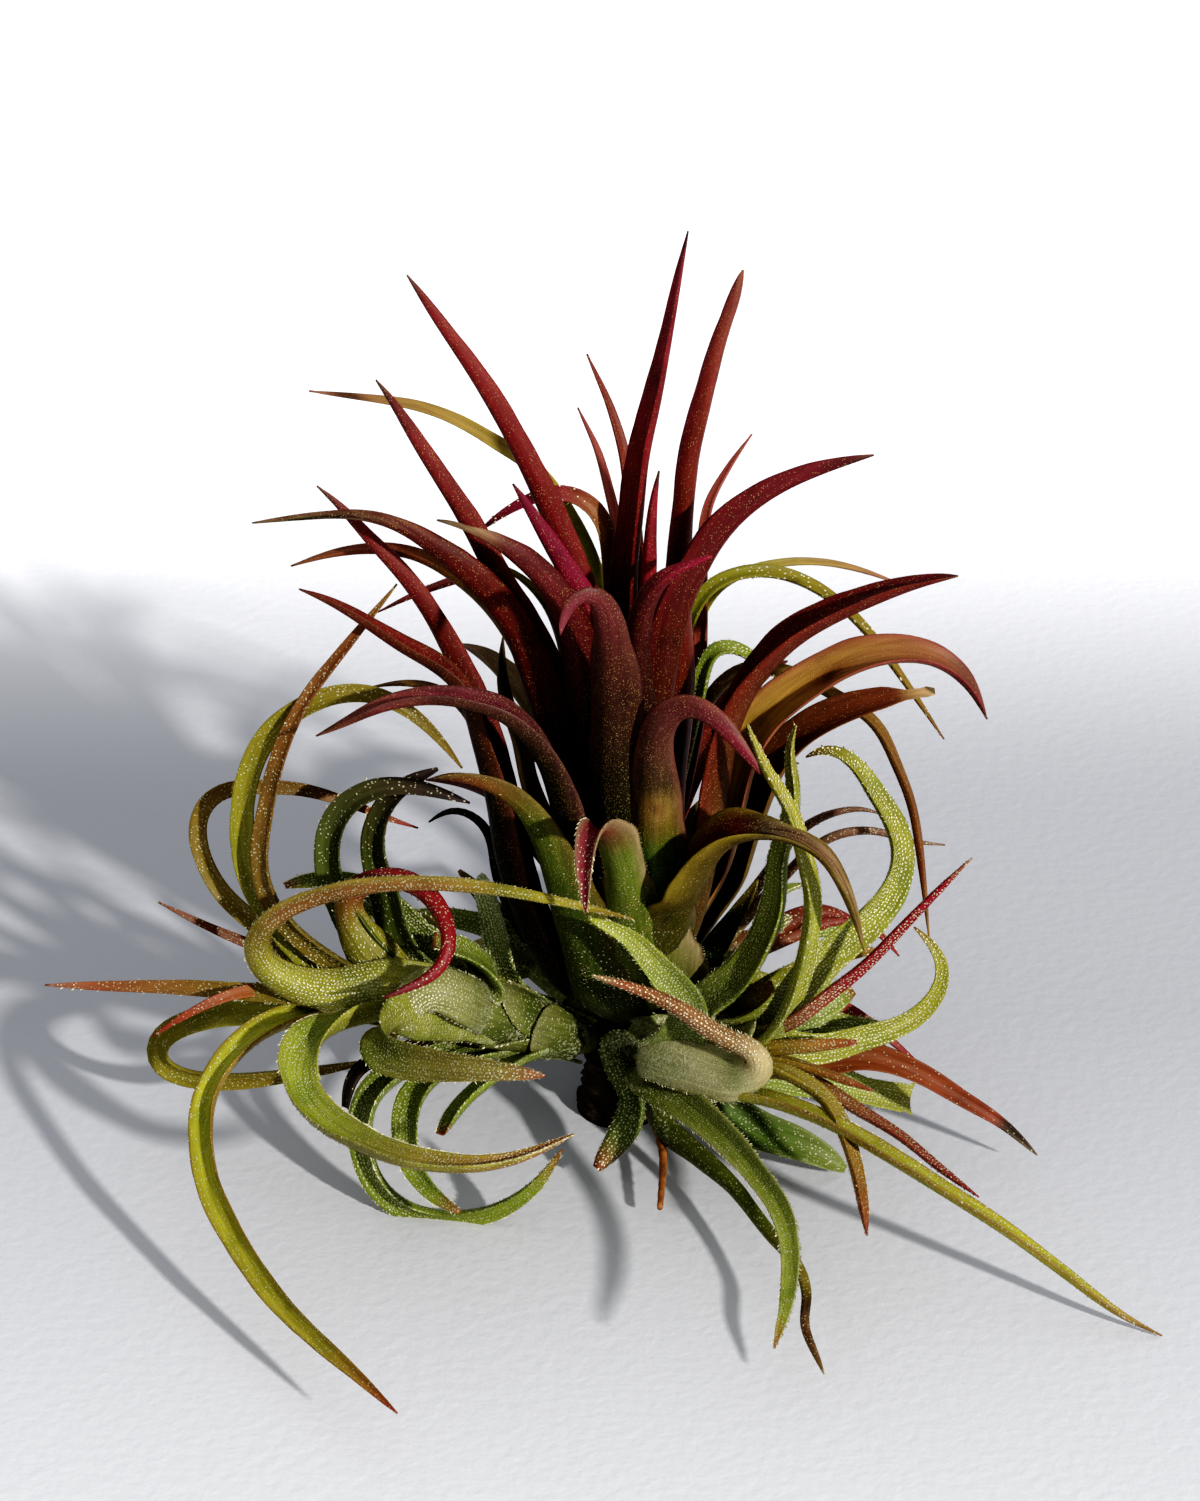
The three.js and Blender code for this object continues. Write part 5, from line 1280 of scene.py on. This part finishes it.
def scales_of(leaf, own, draw):
    """The rows of scales on both faces, and the fringe along both edges."""
    parts = []
    last_row = len(leaf["u"]) - 1
    for side in ("outer", "inner"):
        rows, columns = lanes(leaf, SCALE_SPACING, own["scales"], draw)
        at, normal, lengthwise = surface_at(leaf, side, rows, columns)
        size = draw.uniform(0.65, 1.2, len(at))
        tilted = lengthwise * math.cos(SCALE_LIFT) + normal * math.sin(SCALE_LIFT)
        sideways = np.cross(normal, lengthwise)
        at = at + normal * 0.03 + tilted * (SCALE_LENGTH * 0.6 * size)[:, None]
        points, faces = plates(at, tilted, sideways, SCALE_LENGTH, SCALE_WIDTH, size)
        parts.append(covering(points, faces, PLATE_CORNERS, colours_along(own[side], rows / last_row)))
    for edge in (-1, 1):
        steps = np.arange(0.3, leaf["distance"][-1] - 0.1, FRINGE_SPACING)
        steps = steps + draw.uniform(-0.1, 0.1, len(steps))
        rows = np.clip(steps / leaf["distance"][-1] * last_row, 0, last_row)
        kept = draw.uniform(0, 1, len(rows)) < values_along(own["fringe"], rows / last_row)
        rows = rows[kept]
        at, _, lengthwise = surface_at(leaf, "outer", rows, np.full(len(rows), COLUMNS * (edge + 1) / 2))
        whole = np.clip(rows.round().astype(int), 0, last_row)
        outward = leaf["across"][whole] * edge
        upward = leaf["faces"][whole]
        lift = FRINGE_LIFT + draw.uniform(-0.35, 0.35, len(at))[:, None]
        tilted = unit(lengthwise * np.cos(lift) + outward * np.sin(lift))
        sideways = unit(upward * 0.8 + outward * draw.uniform(-0.6, 0.6, len(at))[:, None])
        size = draw.uniform(0.6, 1.25, len(at))
        at = at + tilted * (FRINGE_LENGTH * 0.5 * size)[:, None]
        points, faces = plates(at, tilted, sideways, FRINGE_LENGTH, SCALE_WIDTH, size)
        parts.append(covering(points, faces, PLATE_CORNERS, colours_along(own["outer"], rows / last_row)))
    return parts


def fur_of(leaf, own, draw):
    """Short hairs on both faces, each one narrow triangle."""
    parts = []
    last_row = len(leaf["u"]) - 1
    for side in ("outer", "inner"):
        rows, columns = lanes(leaf, FUR_SPACING, own["fur"], draw)
        at, normal, lengthwise = surface_at(leaf, side, rows, columns)
        lean = draw.uniform(0.4, 1.0, len(at))[:, None]
        way = unit(lengthwise * lean + normal * 0.75 + draw.uniform(-0.25, 0.25, at.shape))
        sideways = unit(np.cross(way, normal)) * FUR_WIDTH / 2
        length = FUR_LENGTH * draw.uniform(0.6, 1.2, len(at))[:, None]
        points = np.stack([at - sideways, at + sideways, at + way * length], axis=1).reshape(-1, 3)
        faces = np.arange(len(points)).reshape(-1, HAIR_CORNERS).tolist()
        parts.append(covering(points, faces, HAIR_CORNERS, colours_along(own[side], rows / last_row)))
    return parts


# %% [markdown]
# ## Leaf materials
# Three effects are shared by the leaf materials, so each is a node group: fine streaks along the leaf,
# pale specks, and a patchy white felt. The groups give masks only. The material mixes them into the
# colour stored on the points and uses them again for the relief and the gloss.

# %% Shared effects
def streak_group():
    """Fine lengthwise streaks, from the leaf's own coordinates in millimetres."""
    tree, given, result = add_group("leaf_streaks", [("Grain", "Vector"), ("Fineness", "Float")], ["Streaks"])
    stretched = add_node(tree, "ShaderNodeVectorMath", [(0, given.outputs["Grain"]), (1, (0.16, 2.2, 1.0))],
                         operation="MULTIPLY").outputs[0]
    link(tree, noise(tree, stretched, given.outputs["Fineness"], 4.0), result.inputs["Streaks"])
    return tree


def speck_group():
    """Small round specks. Amount is the share of the cells that have one."""
    inputs = [("Place", "Vector"), ("Per Metre", "Float"), ("Size", "Float"), ("Amount", "Float")]
    tree, given, result = add_group("pale_specks", inputs, ["Specks"])
    cells = add_node(tree, "ShaderNodeTexVoronoi",
                     [("Vector", given.outputs["Place"]), ("Scale", given.outputs["Per Metre"])])
    inside = remap(tree, cells.outputs["Distance"], calculate(tree, "MULTIPLY", given.outputs["Size"], 0.5),
                   given.outputs["Size"], 1.0, 0.0)
    chance = add_node(tree, "ShaderNodeSeparateColor", [(0, cells.outputs["Color"])]).outputs[0]
    chosen = calculate(tree, "LESS_THAN", chance, given.outputs["Amount"])
    link(tree, calculate(tree, "MULTIPLY", inside, chosen), result.inputs["Specks"])
    return tree


def felt_group():
    """Patchy felt: the more cover, the more of a fine noise passes."""
    tree, given, result = add_group("white_felt", [("Place", "Vector"), ("Cover", "Float")], ["Felt"])
    fine = noise(tree, given.outputs["Place"], 3200.0)
    broad = noise(tree, given.outputs["Place"], 500.0)
    fine_part = calculate(tree, "MULTIPLY", fine, 0.65)
    both = calculate(tree, "ADD", fine_part, calculate(tree, "MULTIPLY", broad, 0.35))
    level = calculate(tree, "SUBTRACT", 0.78, calculate(tree, "MULTIPLY", given.outputs["Cover"], 0.42))
    passed = remap(tree, both, level, calculate(tree, "ADD", level, 0.12))
    link(tree, calculate(tree, "MULTIPLY", passed, given.outputs["Cover"]), result.inputs["Felt"])
    return tree


STREAKS = streak_group()
SPECKS = speck_group()
FELT = felt_group()
print("shared effects:", [group.name for group in (STREAKS, SPECKS, FELT)])


# %% Leaf, scale and fur materials
LEAF_GLOSS = 0.16
COVERING_GLOSS = 0.35
SHADED_STREAK = [0.5, 0.42, 0.4, 1.0]
BRIGHT_STREAK = [1.35, 1.3, 1.2, 1.0]
WORN_PATCH = [0.62, 0.7, 0.62, 1.0]
BRITTLE_DARK = "2a2019"
BRITTLE_LIGHT = "a08a68"


def leaf_material(name, speck_colour, felt_colour, specks_per_metre, speck_size, felt_share, clear_share):
    """Leaf skin: stored pigment, streaked and blotched, with specks and felt, and dry where it is dead."""
    material, tree, shader = new_material(name, 0.5)
    place = add_node(tree, "ShaderNodeTexCoord").outputs["Object"]
    pigment = point_value(tree, "pigment", "Color")
    grain = point_value(tree, "grain", "Vector")
    felt_amount = point_value(tree, "felt")
    speck_amount = point_value(tree, "specks")
    dry = point_value(tree, "dry")
    streaks = use_group(tree, STREAKS, [("Grain", grain), ("Fineness", 1.6)]).outputs[0]
    specks = use_group(tree, SPECKS, [("Place", place), ("Per Metre", specks_per_metre), ("Size", speck_size),
                                      ("Amount", speck_amount)]).outputs[0]
    felt = use_group(tree, FELT, [("Place", place), ("Cover", felt_amount)]).outputs[0]
    blotch = noise(tree, place, 260.0, 3.0)
    fade = noise(tree, place, 1300.0, 1.0)
    dark = mix_colours(tree, 1.0, pigment, SHADED_STREAK, "MULTIPLY")
    light = mix_colours(tree, 1.0, pigment, BRIGHT_STREAK, "MULTIPLY")
    colour = mix_colours(tree, remap(tree, streaks, 0.35, 0.68), dark, light)
    colour = mix_colours(tree, 0.55, colour, pigment)
    worn = mix_colours(tree, 1.0, colour, WORN_PATCH, "MULTIPLY")
    colour = mix_colours(tree, remap(tree, blotch, 0.52, 0.72), colour, worn)
    brittle = remap(tree, streaks, 0.4, 0.6)
    brittle = mix_colours(tree, brittle, pigment_of(BRITTLE_DARK), pigment_of(BRITTLE_LIGHT))
    colour = mix_colours(tree, calculate(tree, "MULTIPLY", dry, 0.35), colour, brittle)
    felt = calculate(tree, "MULTIPLY", felt, felt_share)
    colour = mix_colours(tree, felt, colour, pigment_of(felt_colour))
    faded = remap(tree, fade, 0.35, 0.65, 0.25, 0.85)
    shown = calculate(tree, "MULTIPLY", specks, faded)
    colour = mix_colours(tree, shown, colour, mix_colours(tree, clear_share, pigment_of(speck_colour), pigment))
    link(tree, colour, shader.inputs["Base Color"])
    rough = remap(tree, blotch, 0.3, 0.7, 0.42, 0.56)
    dull = calculate(tree, "MULTIPLY", calculate(tree, "MAXIMUM", felt, dry), 0.32)
    rough = calculate(tree, "ADD", rough, dull)
    link(tree, rough, shader.inputs["Roughness"])
    height = calculate(tree, "MULTIPLY", specks, 0.5)
    dry_streaks = calculate(tree, "MULTIPLY", dry, streaks)
    for raised, share in ((felt, 0.7), (streaks, 0.9), (dry_streaks, 1.6)):
        height = calculate(tree, "ADD", height, calculate(tree, "MULTIPLY", raised, share))
    add_relief(tree, shader, height, 0.6, 0.00012)
    shader.inputs["Specular IOR Level"].default_value = LEAF_GLOSS
    return material


def covering_material(name, share, colour, roughness):
    """Scales or hairs: the pigment they stand on, shown through a share of white."""
    material, tree, shader = new_material(name, roughness)
    pigment = point_value(tree, "pigment", "Color")
    place = add_node(tree, "ShaderNodeTexCoord").outputs["Object"]
    patch = noise(tree, place, 900.0)
    amount = remap(tree, patch, 0.3, 0.7, share - 0.15, share + 0.15)
    link(tree, mix_colours(tree, amount, pigment, pigment_of(colour)), shader.inputs["Base Color"])
    shader.inputs["Specular IOR Level"].default_value = COVERING_GLOSS
    return material


ROSETTE_SKIN = leaf_material("rosette_skin", "dcb880", "98985c", 5800.0, 0.33, 0.5, 0.32)
OFFSET_SKIN = leaf_material("offset_skin", "fcf8cc", "cccca4", 4200.0, 0.33, 0.65, 0.15)
SCALE_SKIN = covering_material("scale_skin", 0.78, "fffad0", 0.5)
FUR_SKIN = covering_material("fur_skin", 0.75, "f4f2dc", 0.7)
print("leaf materials:", [m.name for m in (ROSETTE_SKIN, OFFSET_SKIN, SCALE_SKIN, FUR_SKIN)])

# %% [markdown]
# ## The rosette and the offsets
# Each facet node gets one finely made piece in its place. The leaves of a head that the source joined in
# one body stay together in one piece, with the stem that carries them.

# %% Build the heads
STEM_SIDES = 16
STEM_RINGS = 10
STEM_COLOUR = "747c34"
STEM_FELT = 0.6
STEM_SPECKS = 0.3
STEM_SIDE_HINT = (0.3, 0.9, 0.1)
CLASPS = 9
CLASP_ROWS = 14
CLASP_LENGTH = 6.0
CLASP_ANGLE = math.radians(72)
CLASP_THICKNESS = 0.25
CLASP_FLARE = 0.5
CLASP_NUMBERS_FROM = 60
GOLDEN_ANGLE = math.radians(137.5)


def stem_frame(head):
    """A stem's middle, half its length, its direction, and two directions across it."""
    foot, point, direction = stem_of(head)
    half_length = (np.linalg.norm(point - foot) + head["radius"]) / 2
    side = unit(np.cross(direction, STEM_SIDE_HINT))
    return (foot + point) / 2, half_length, direction, side, np.cross(direction, side)


def stem_data(head):
    """The stem's rounded body, as points and faces with the leaf's stored values."""
    middle, half_length, direction, side, other = stem_frame(head)
    angles = np.linspace(0, 2 * math.pi, STEM_SIDES + 1)[:STEM_SIDES]
    points = []
    for climb in np.linspace(-math.pi / 2 + 0.1, math.pi / 2 - 0.1, STEM_RINGS):
        centre = middle + direction * half_length * math.sin(climb)
        radius = head["radius"] * math.cos(climb)
        points += [centre + radius * (side * math.cos(a) + other * math.sin(a)) for a in angles]
    count = len(points)
    return {
        "points": np.array(points), "faces": tube_faces(STEM_RINGS, STEM_SIDES),
        "pigment": np.tile(pigment_of(STEM_COLOUR), (count, 1)), "grain": np.array(points),
        "felt": np.full(count, STEM_FELT), "specks": np.full(count, STEM_SPECKS), "dry": np.zeros(count),
    }


def clasping_base(head, rank):
    """A short broad leaf base that wraps the stem, as the two grids of points that a blade has."""
    middle, half_length, direction, side, other = stem_frame(head)
    u = np.linspace(0, 1, CLASP_ROWS)
    start = half_length * (-0.85 + 1.3 * rank / CLASPS)
    place = start + CLASP_LENGTH * u
    body = head["radius"] * np.sqrt(np.maximum(1 - (place / half_length) ** 2, 0.05))
    radius = np.maximum(body, head["radius"] * 0.8) + 0.12 + CLASP_FLARE * u ** 2
    half_angle = CLASP_ANGLE * (1 - u ** 2.4) ** 0.6 + 0.05
    angle = rank * GOLDEN_ANGLE + PLACES[None, :] * half_angle[:, None]
    spokes = side * np.cos(angle)[..., None] + other * np.sin(angle)[..., None]
    centre = middle + direction * place[:, None]
    outer = centre[:, None] + spokes * radius[:, None, None]
    return {
        "u": u, "distance": u * CLASP_LENGTH, "broad": 2 * half_angle * radius,
        "across": unit(outer[:, -1] - outer[:, 0]), "faces": -spokes[:, COLUMNS // 2],
        "outer": outer, "inner": outer - spokes * CLASP_THICKNESS,
    }


def dressed(leaves, head, first_number):
    """The leaf bodies, scales and hairs of some leaves, as lists of parts."""
    bodies = []
    scales = []
    hairs = []
    for number, (name, look_name, width, curve) in enumerate(leaves, first_number):
        leaf = blade(name, number, curve, head, width)
        draw = np.random.default_rng(DRAW_SEED + number)
        bodies.append(leaf_data(name, number, look_name, leaf))
        scales += scales_of(leaf, LOOKS[look_name], draw)
        hairs += fur_of(leaf, LOOKS[look_name], draw)
    return bodies, scales, hairs


def add_clasping_bases(head, first_number, bodies, scales, hairs):
    """Put the clasping bases of a head with its other leaves."""
    own = LOOKS["clasping_green"]
    for rank in range(CLASPS):
        leaf = clasping_base(head, rank)
        draw = np.random.default_rng(DRAW_SEED + first_number + rank)
        bodies.append(leaf_data("clasp", first_number + rank, "clasping_green", leaf))
        scales += scales_of(leaf, own, draw)
        hairs += fur_of(leaf, own, draw)


def add_coverings(name, scales, hairs):
    """The scales and the hairs of some leaves, as two pieces that ride with them."""
    for kind, parts, material in (("scales", scales, SCALE_SKIN), ("fur", hairs, FUR_SKIN)):
        data = joined(parts)
        if len(data["points"]):
            new_object(name + "_" + kind, data, material)
            print(name, kind, len(data["faces"]))


def add_head(name, head, measured, hidden, skin, first_number):
    """One head whose leaves stay joined, in place of its node."""
    bodies, scales, hairs = dressed(leaves_of(head, measured, hidden), head, first_number)
    if name in ("left_offset", "right_offset"):
        add_clasping_bases(head, first_number + CLASP_NUMBERS_FROM, bodies, scales, hairs)
    piece = new_object(name + "_leaves", joined([stem_data(head), *bodies]), skin)
    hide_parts(name)
    add_coverings(name, scales, hairs)
    print(name, "faces:", len(piece.data.polygons))


add_head("main_heart", HEADS["main"], MAIN_BACK_LEAVES, MAIN_HIDDEN, ROSETTE_SKIN, 100)
add_head("left_offset", HEADS["left"], LEFT_LEAVES, LEFT_HIDDEN, OFFSET_SKIN, 200)
add_head("right_offset", HEADS["right"], RIGHT_LEAVES, RIGHT_HIDDEN, OFFSET_SKIN, 300)
add_head("back_right_offset", HEADS["back_right"], BACK_RIGHT_LEAVES, BACK_RIGHT_HIDDEN, OFFSET_SKIN,
         400)
add_head("back_left_offset", HEADS["back_left"], BACK_LEFT_LEAVES, BACK_LEFT_HIDDEN, OFFSET_SKIN,
         500)

main_scales = []
main_hairs = []
for number, row in enumerate(leaves_of(HEADS["main"], MAIN_LEAVES, [])):
    bodies, scales, hairs = dressed([row], HEADS["main"], number)
    node = "main_" + row[0]
    leaf_piece = new_object(node + "_leaf", bodies[0], ROSETTE_SKIN)
    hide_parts(node)
    main_scales += scales
    main_hairs += hairs
add_coverings("main_front", main_scales, main_hairs)

# %% [markdown]
# ## Crown and root
# The crown is the short woody stump that the leaves grow from, ringed by the scars of fallen leaves. It
# is turned from a profile and roughened. One dry root leaves it and ends on the paper.

# %% Crown
CROWN_SIDES = 48
CROWN_ROWS = 40
CROWN_WIDEST = 1.06
CROWN_NARROWING = 0.16
CROWN_TOP = 0.97
CROWN_ROUGHNESS = 0.12
CROWN_SEED = 7
# How wide the stump is, as a share of its radius, at fractions of its height.
CROWN_OUTLINE = ((1, 0), (CROWN_WIDEST, 0.12), (0.92, 0.2), (1, 0.32), (0.86, 0.42), (0.94, 0.56), (0.8, 0.66),
                 (0.84, 0.82), (0.6, 0.94))


def wood_material():
    """Dry wood with fine rings of old scars, made very dark by painted shade for the shade under the rosette.
    """
    material, tree, shader = new_material("crown_bark_and_shade", 0.85)
    place = add_node(tree, "ShaderNodeTexCoord").outputs["Object"]
    flattened = add_node(tree, "ShaderNodeVectorMath", [(0, place), (1, (1.0, 1.0, 4.0))],
                         operation="MULTIPLY").outputs[0]
    bark = noise(tree, flattened, 700.0, 5.0)
    # Very dark browns: partly dry wood, partly painted shade.
    colour = mix_colours(tree, remap(tree, bark, 0.3, 0.7), linear("100c08"), linear("3c3022"))
    link(tree, colour, shader.inputs["Base Color"])
    add_relief(tree, shader, bark, 0.8, 0.0003)
    return material


crown_low, crown_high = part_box("crown")
crown_height = crown_high.z / MM
crown_radius = (crown_high.x - crown_low.x) / 2 / MM / CROWN_WIDEST
outline = np.array(CROWN_OUTLINE)
fine_up = np.linspace(0, 1, CROWN_ROWS)
fine_across = np.interp(fine_up, outline[:, 1], outline[:, 0])
crown_draw = np.random.default_rng(CROWN_SEED)
crown_points = []
for up, wide in zip(fine_up, fine_across):
    for i in range(CROWN_SIDES):
        angle = 2 * math.pi * i / CROWN_SIDES
        rough = 1 - CROWN_ROUGHNESS * crown_draw.random() * (0 if up == 0 else 1)
        reach = crown_radius * wide * (1 - CROWN_NARROWING * up) * rough
        crown_points.append((reach * math.cos(angle), reach * math.sin(angle), up * crown_height * CROWN_TOP))
crown_data = {"points": np.array(crown_points), "faces": tube_faces(CROWN_ROWS, CROWN_SIDES)}
crown = new_object("crown_stump", crown_data, wood_material())
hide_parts("crown")
print("crown:", round(crown_height, 1), "mm tall")

# %% Dry root
ROOT_PIXELS = ((640, 1100), (655, 1125), (663, 1150), (660, 1208))
ROOT_FORWARD = (4, 8, 12, 16.8)
ROOT_RADIUS = 0.36
ROOT_TAPER = 0.35
ROOT_KNOBS = 0.08
ROOT_KNOB_STEP = 1.7
ROOT_ROWS = 40
ROOT_SIDES = 14


def root_material():
    """Smooth dry root, orange-brown with darker flecks."""
    material, tree, shader = new_material("root_bark", 0.55)
    place = add_node(tree, "ShaderNodeTexCoord").outputs["Object"]
    fleck = noise(tree, place, 1500.0, 4.0)
    colour = mix_colours(tree, remap(tree, fleck, 0.35, 0.7), linear("945c2c"), linear("583418"))
    link(tree, colour, shader.inputs["Base Color"])
    add_relief(tree, shader, fleck, 0.4, 0.0001)
    return material


root_curve = eased(smooth_curve(measured_route(ROOT_FORWARD, ROOT_PIXELS)))
root_line, root_length = spaced(root_curve, ROOT_ROWS)
root_ways = unit(np.gradient(root_line, axis=0))
root_side = unit(np.cross(root_ways, (1.0, 0.2, 0.1)))
root_other = np.cross(root_ways, root_side)
root_points = []
for i, centre in enumerate(root_line):
    narrowed = 1 - ROOT_TAPER * (i / (ROOT_ROWS - 1)) ** 2
    radius = ROOT_RADIUS * narrowed * (1 + ROOT_KNOBS * math.sin(i * ROOT_KNOB_STEP))
    for k in range(ROOT_SIDES):
        angle = 2 * math.pi * k / ROOT_SIDES
        root_points.append(centre + radius * (root_side[i] * math.cos(angle) + root_other[i] * math.sin(angle)))
root_data = {"points": np.array(root_points), "faces": tube_faces(ROOT_ROWS, ROOT_SIDES)}
root = new_object("dry_root_skin", root_data, root_material())
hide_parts("dry_root")
print("root:", round(root_length, 1), "mm long")

# %% [markdown]
# ## Finish
# The faces of all the meshes are counted. The finished model may stand a little proud of the imported
# one, and no more.

# %% Face count and end
face_count = sum(len(o.data.polygons) for o in bpy.data.objects if o.type == "MESH")
print("faces in all:", face_count)
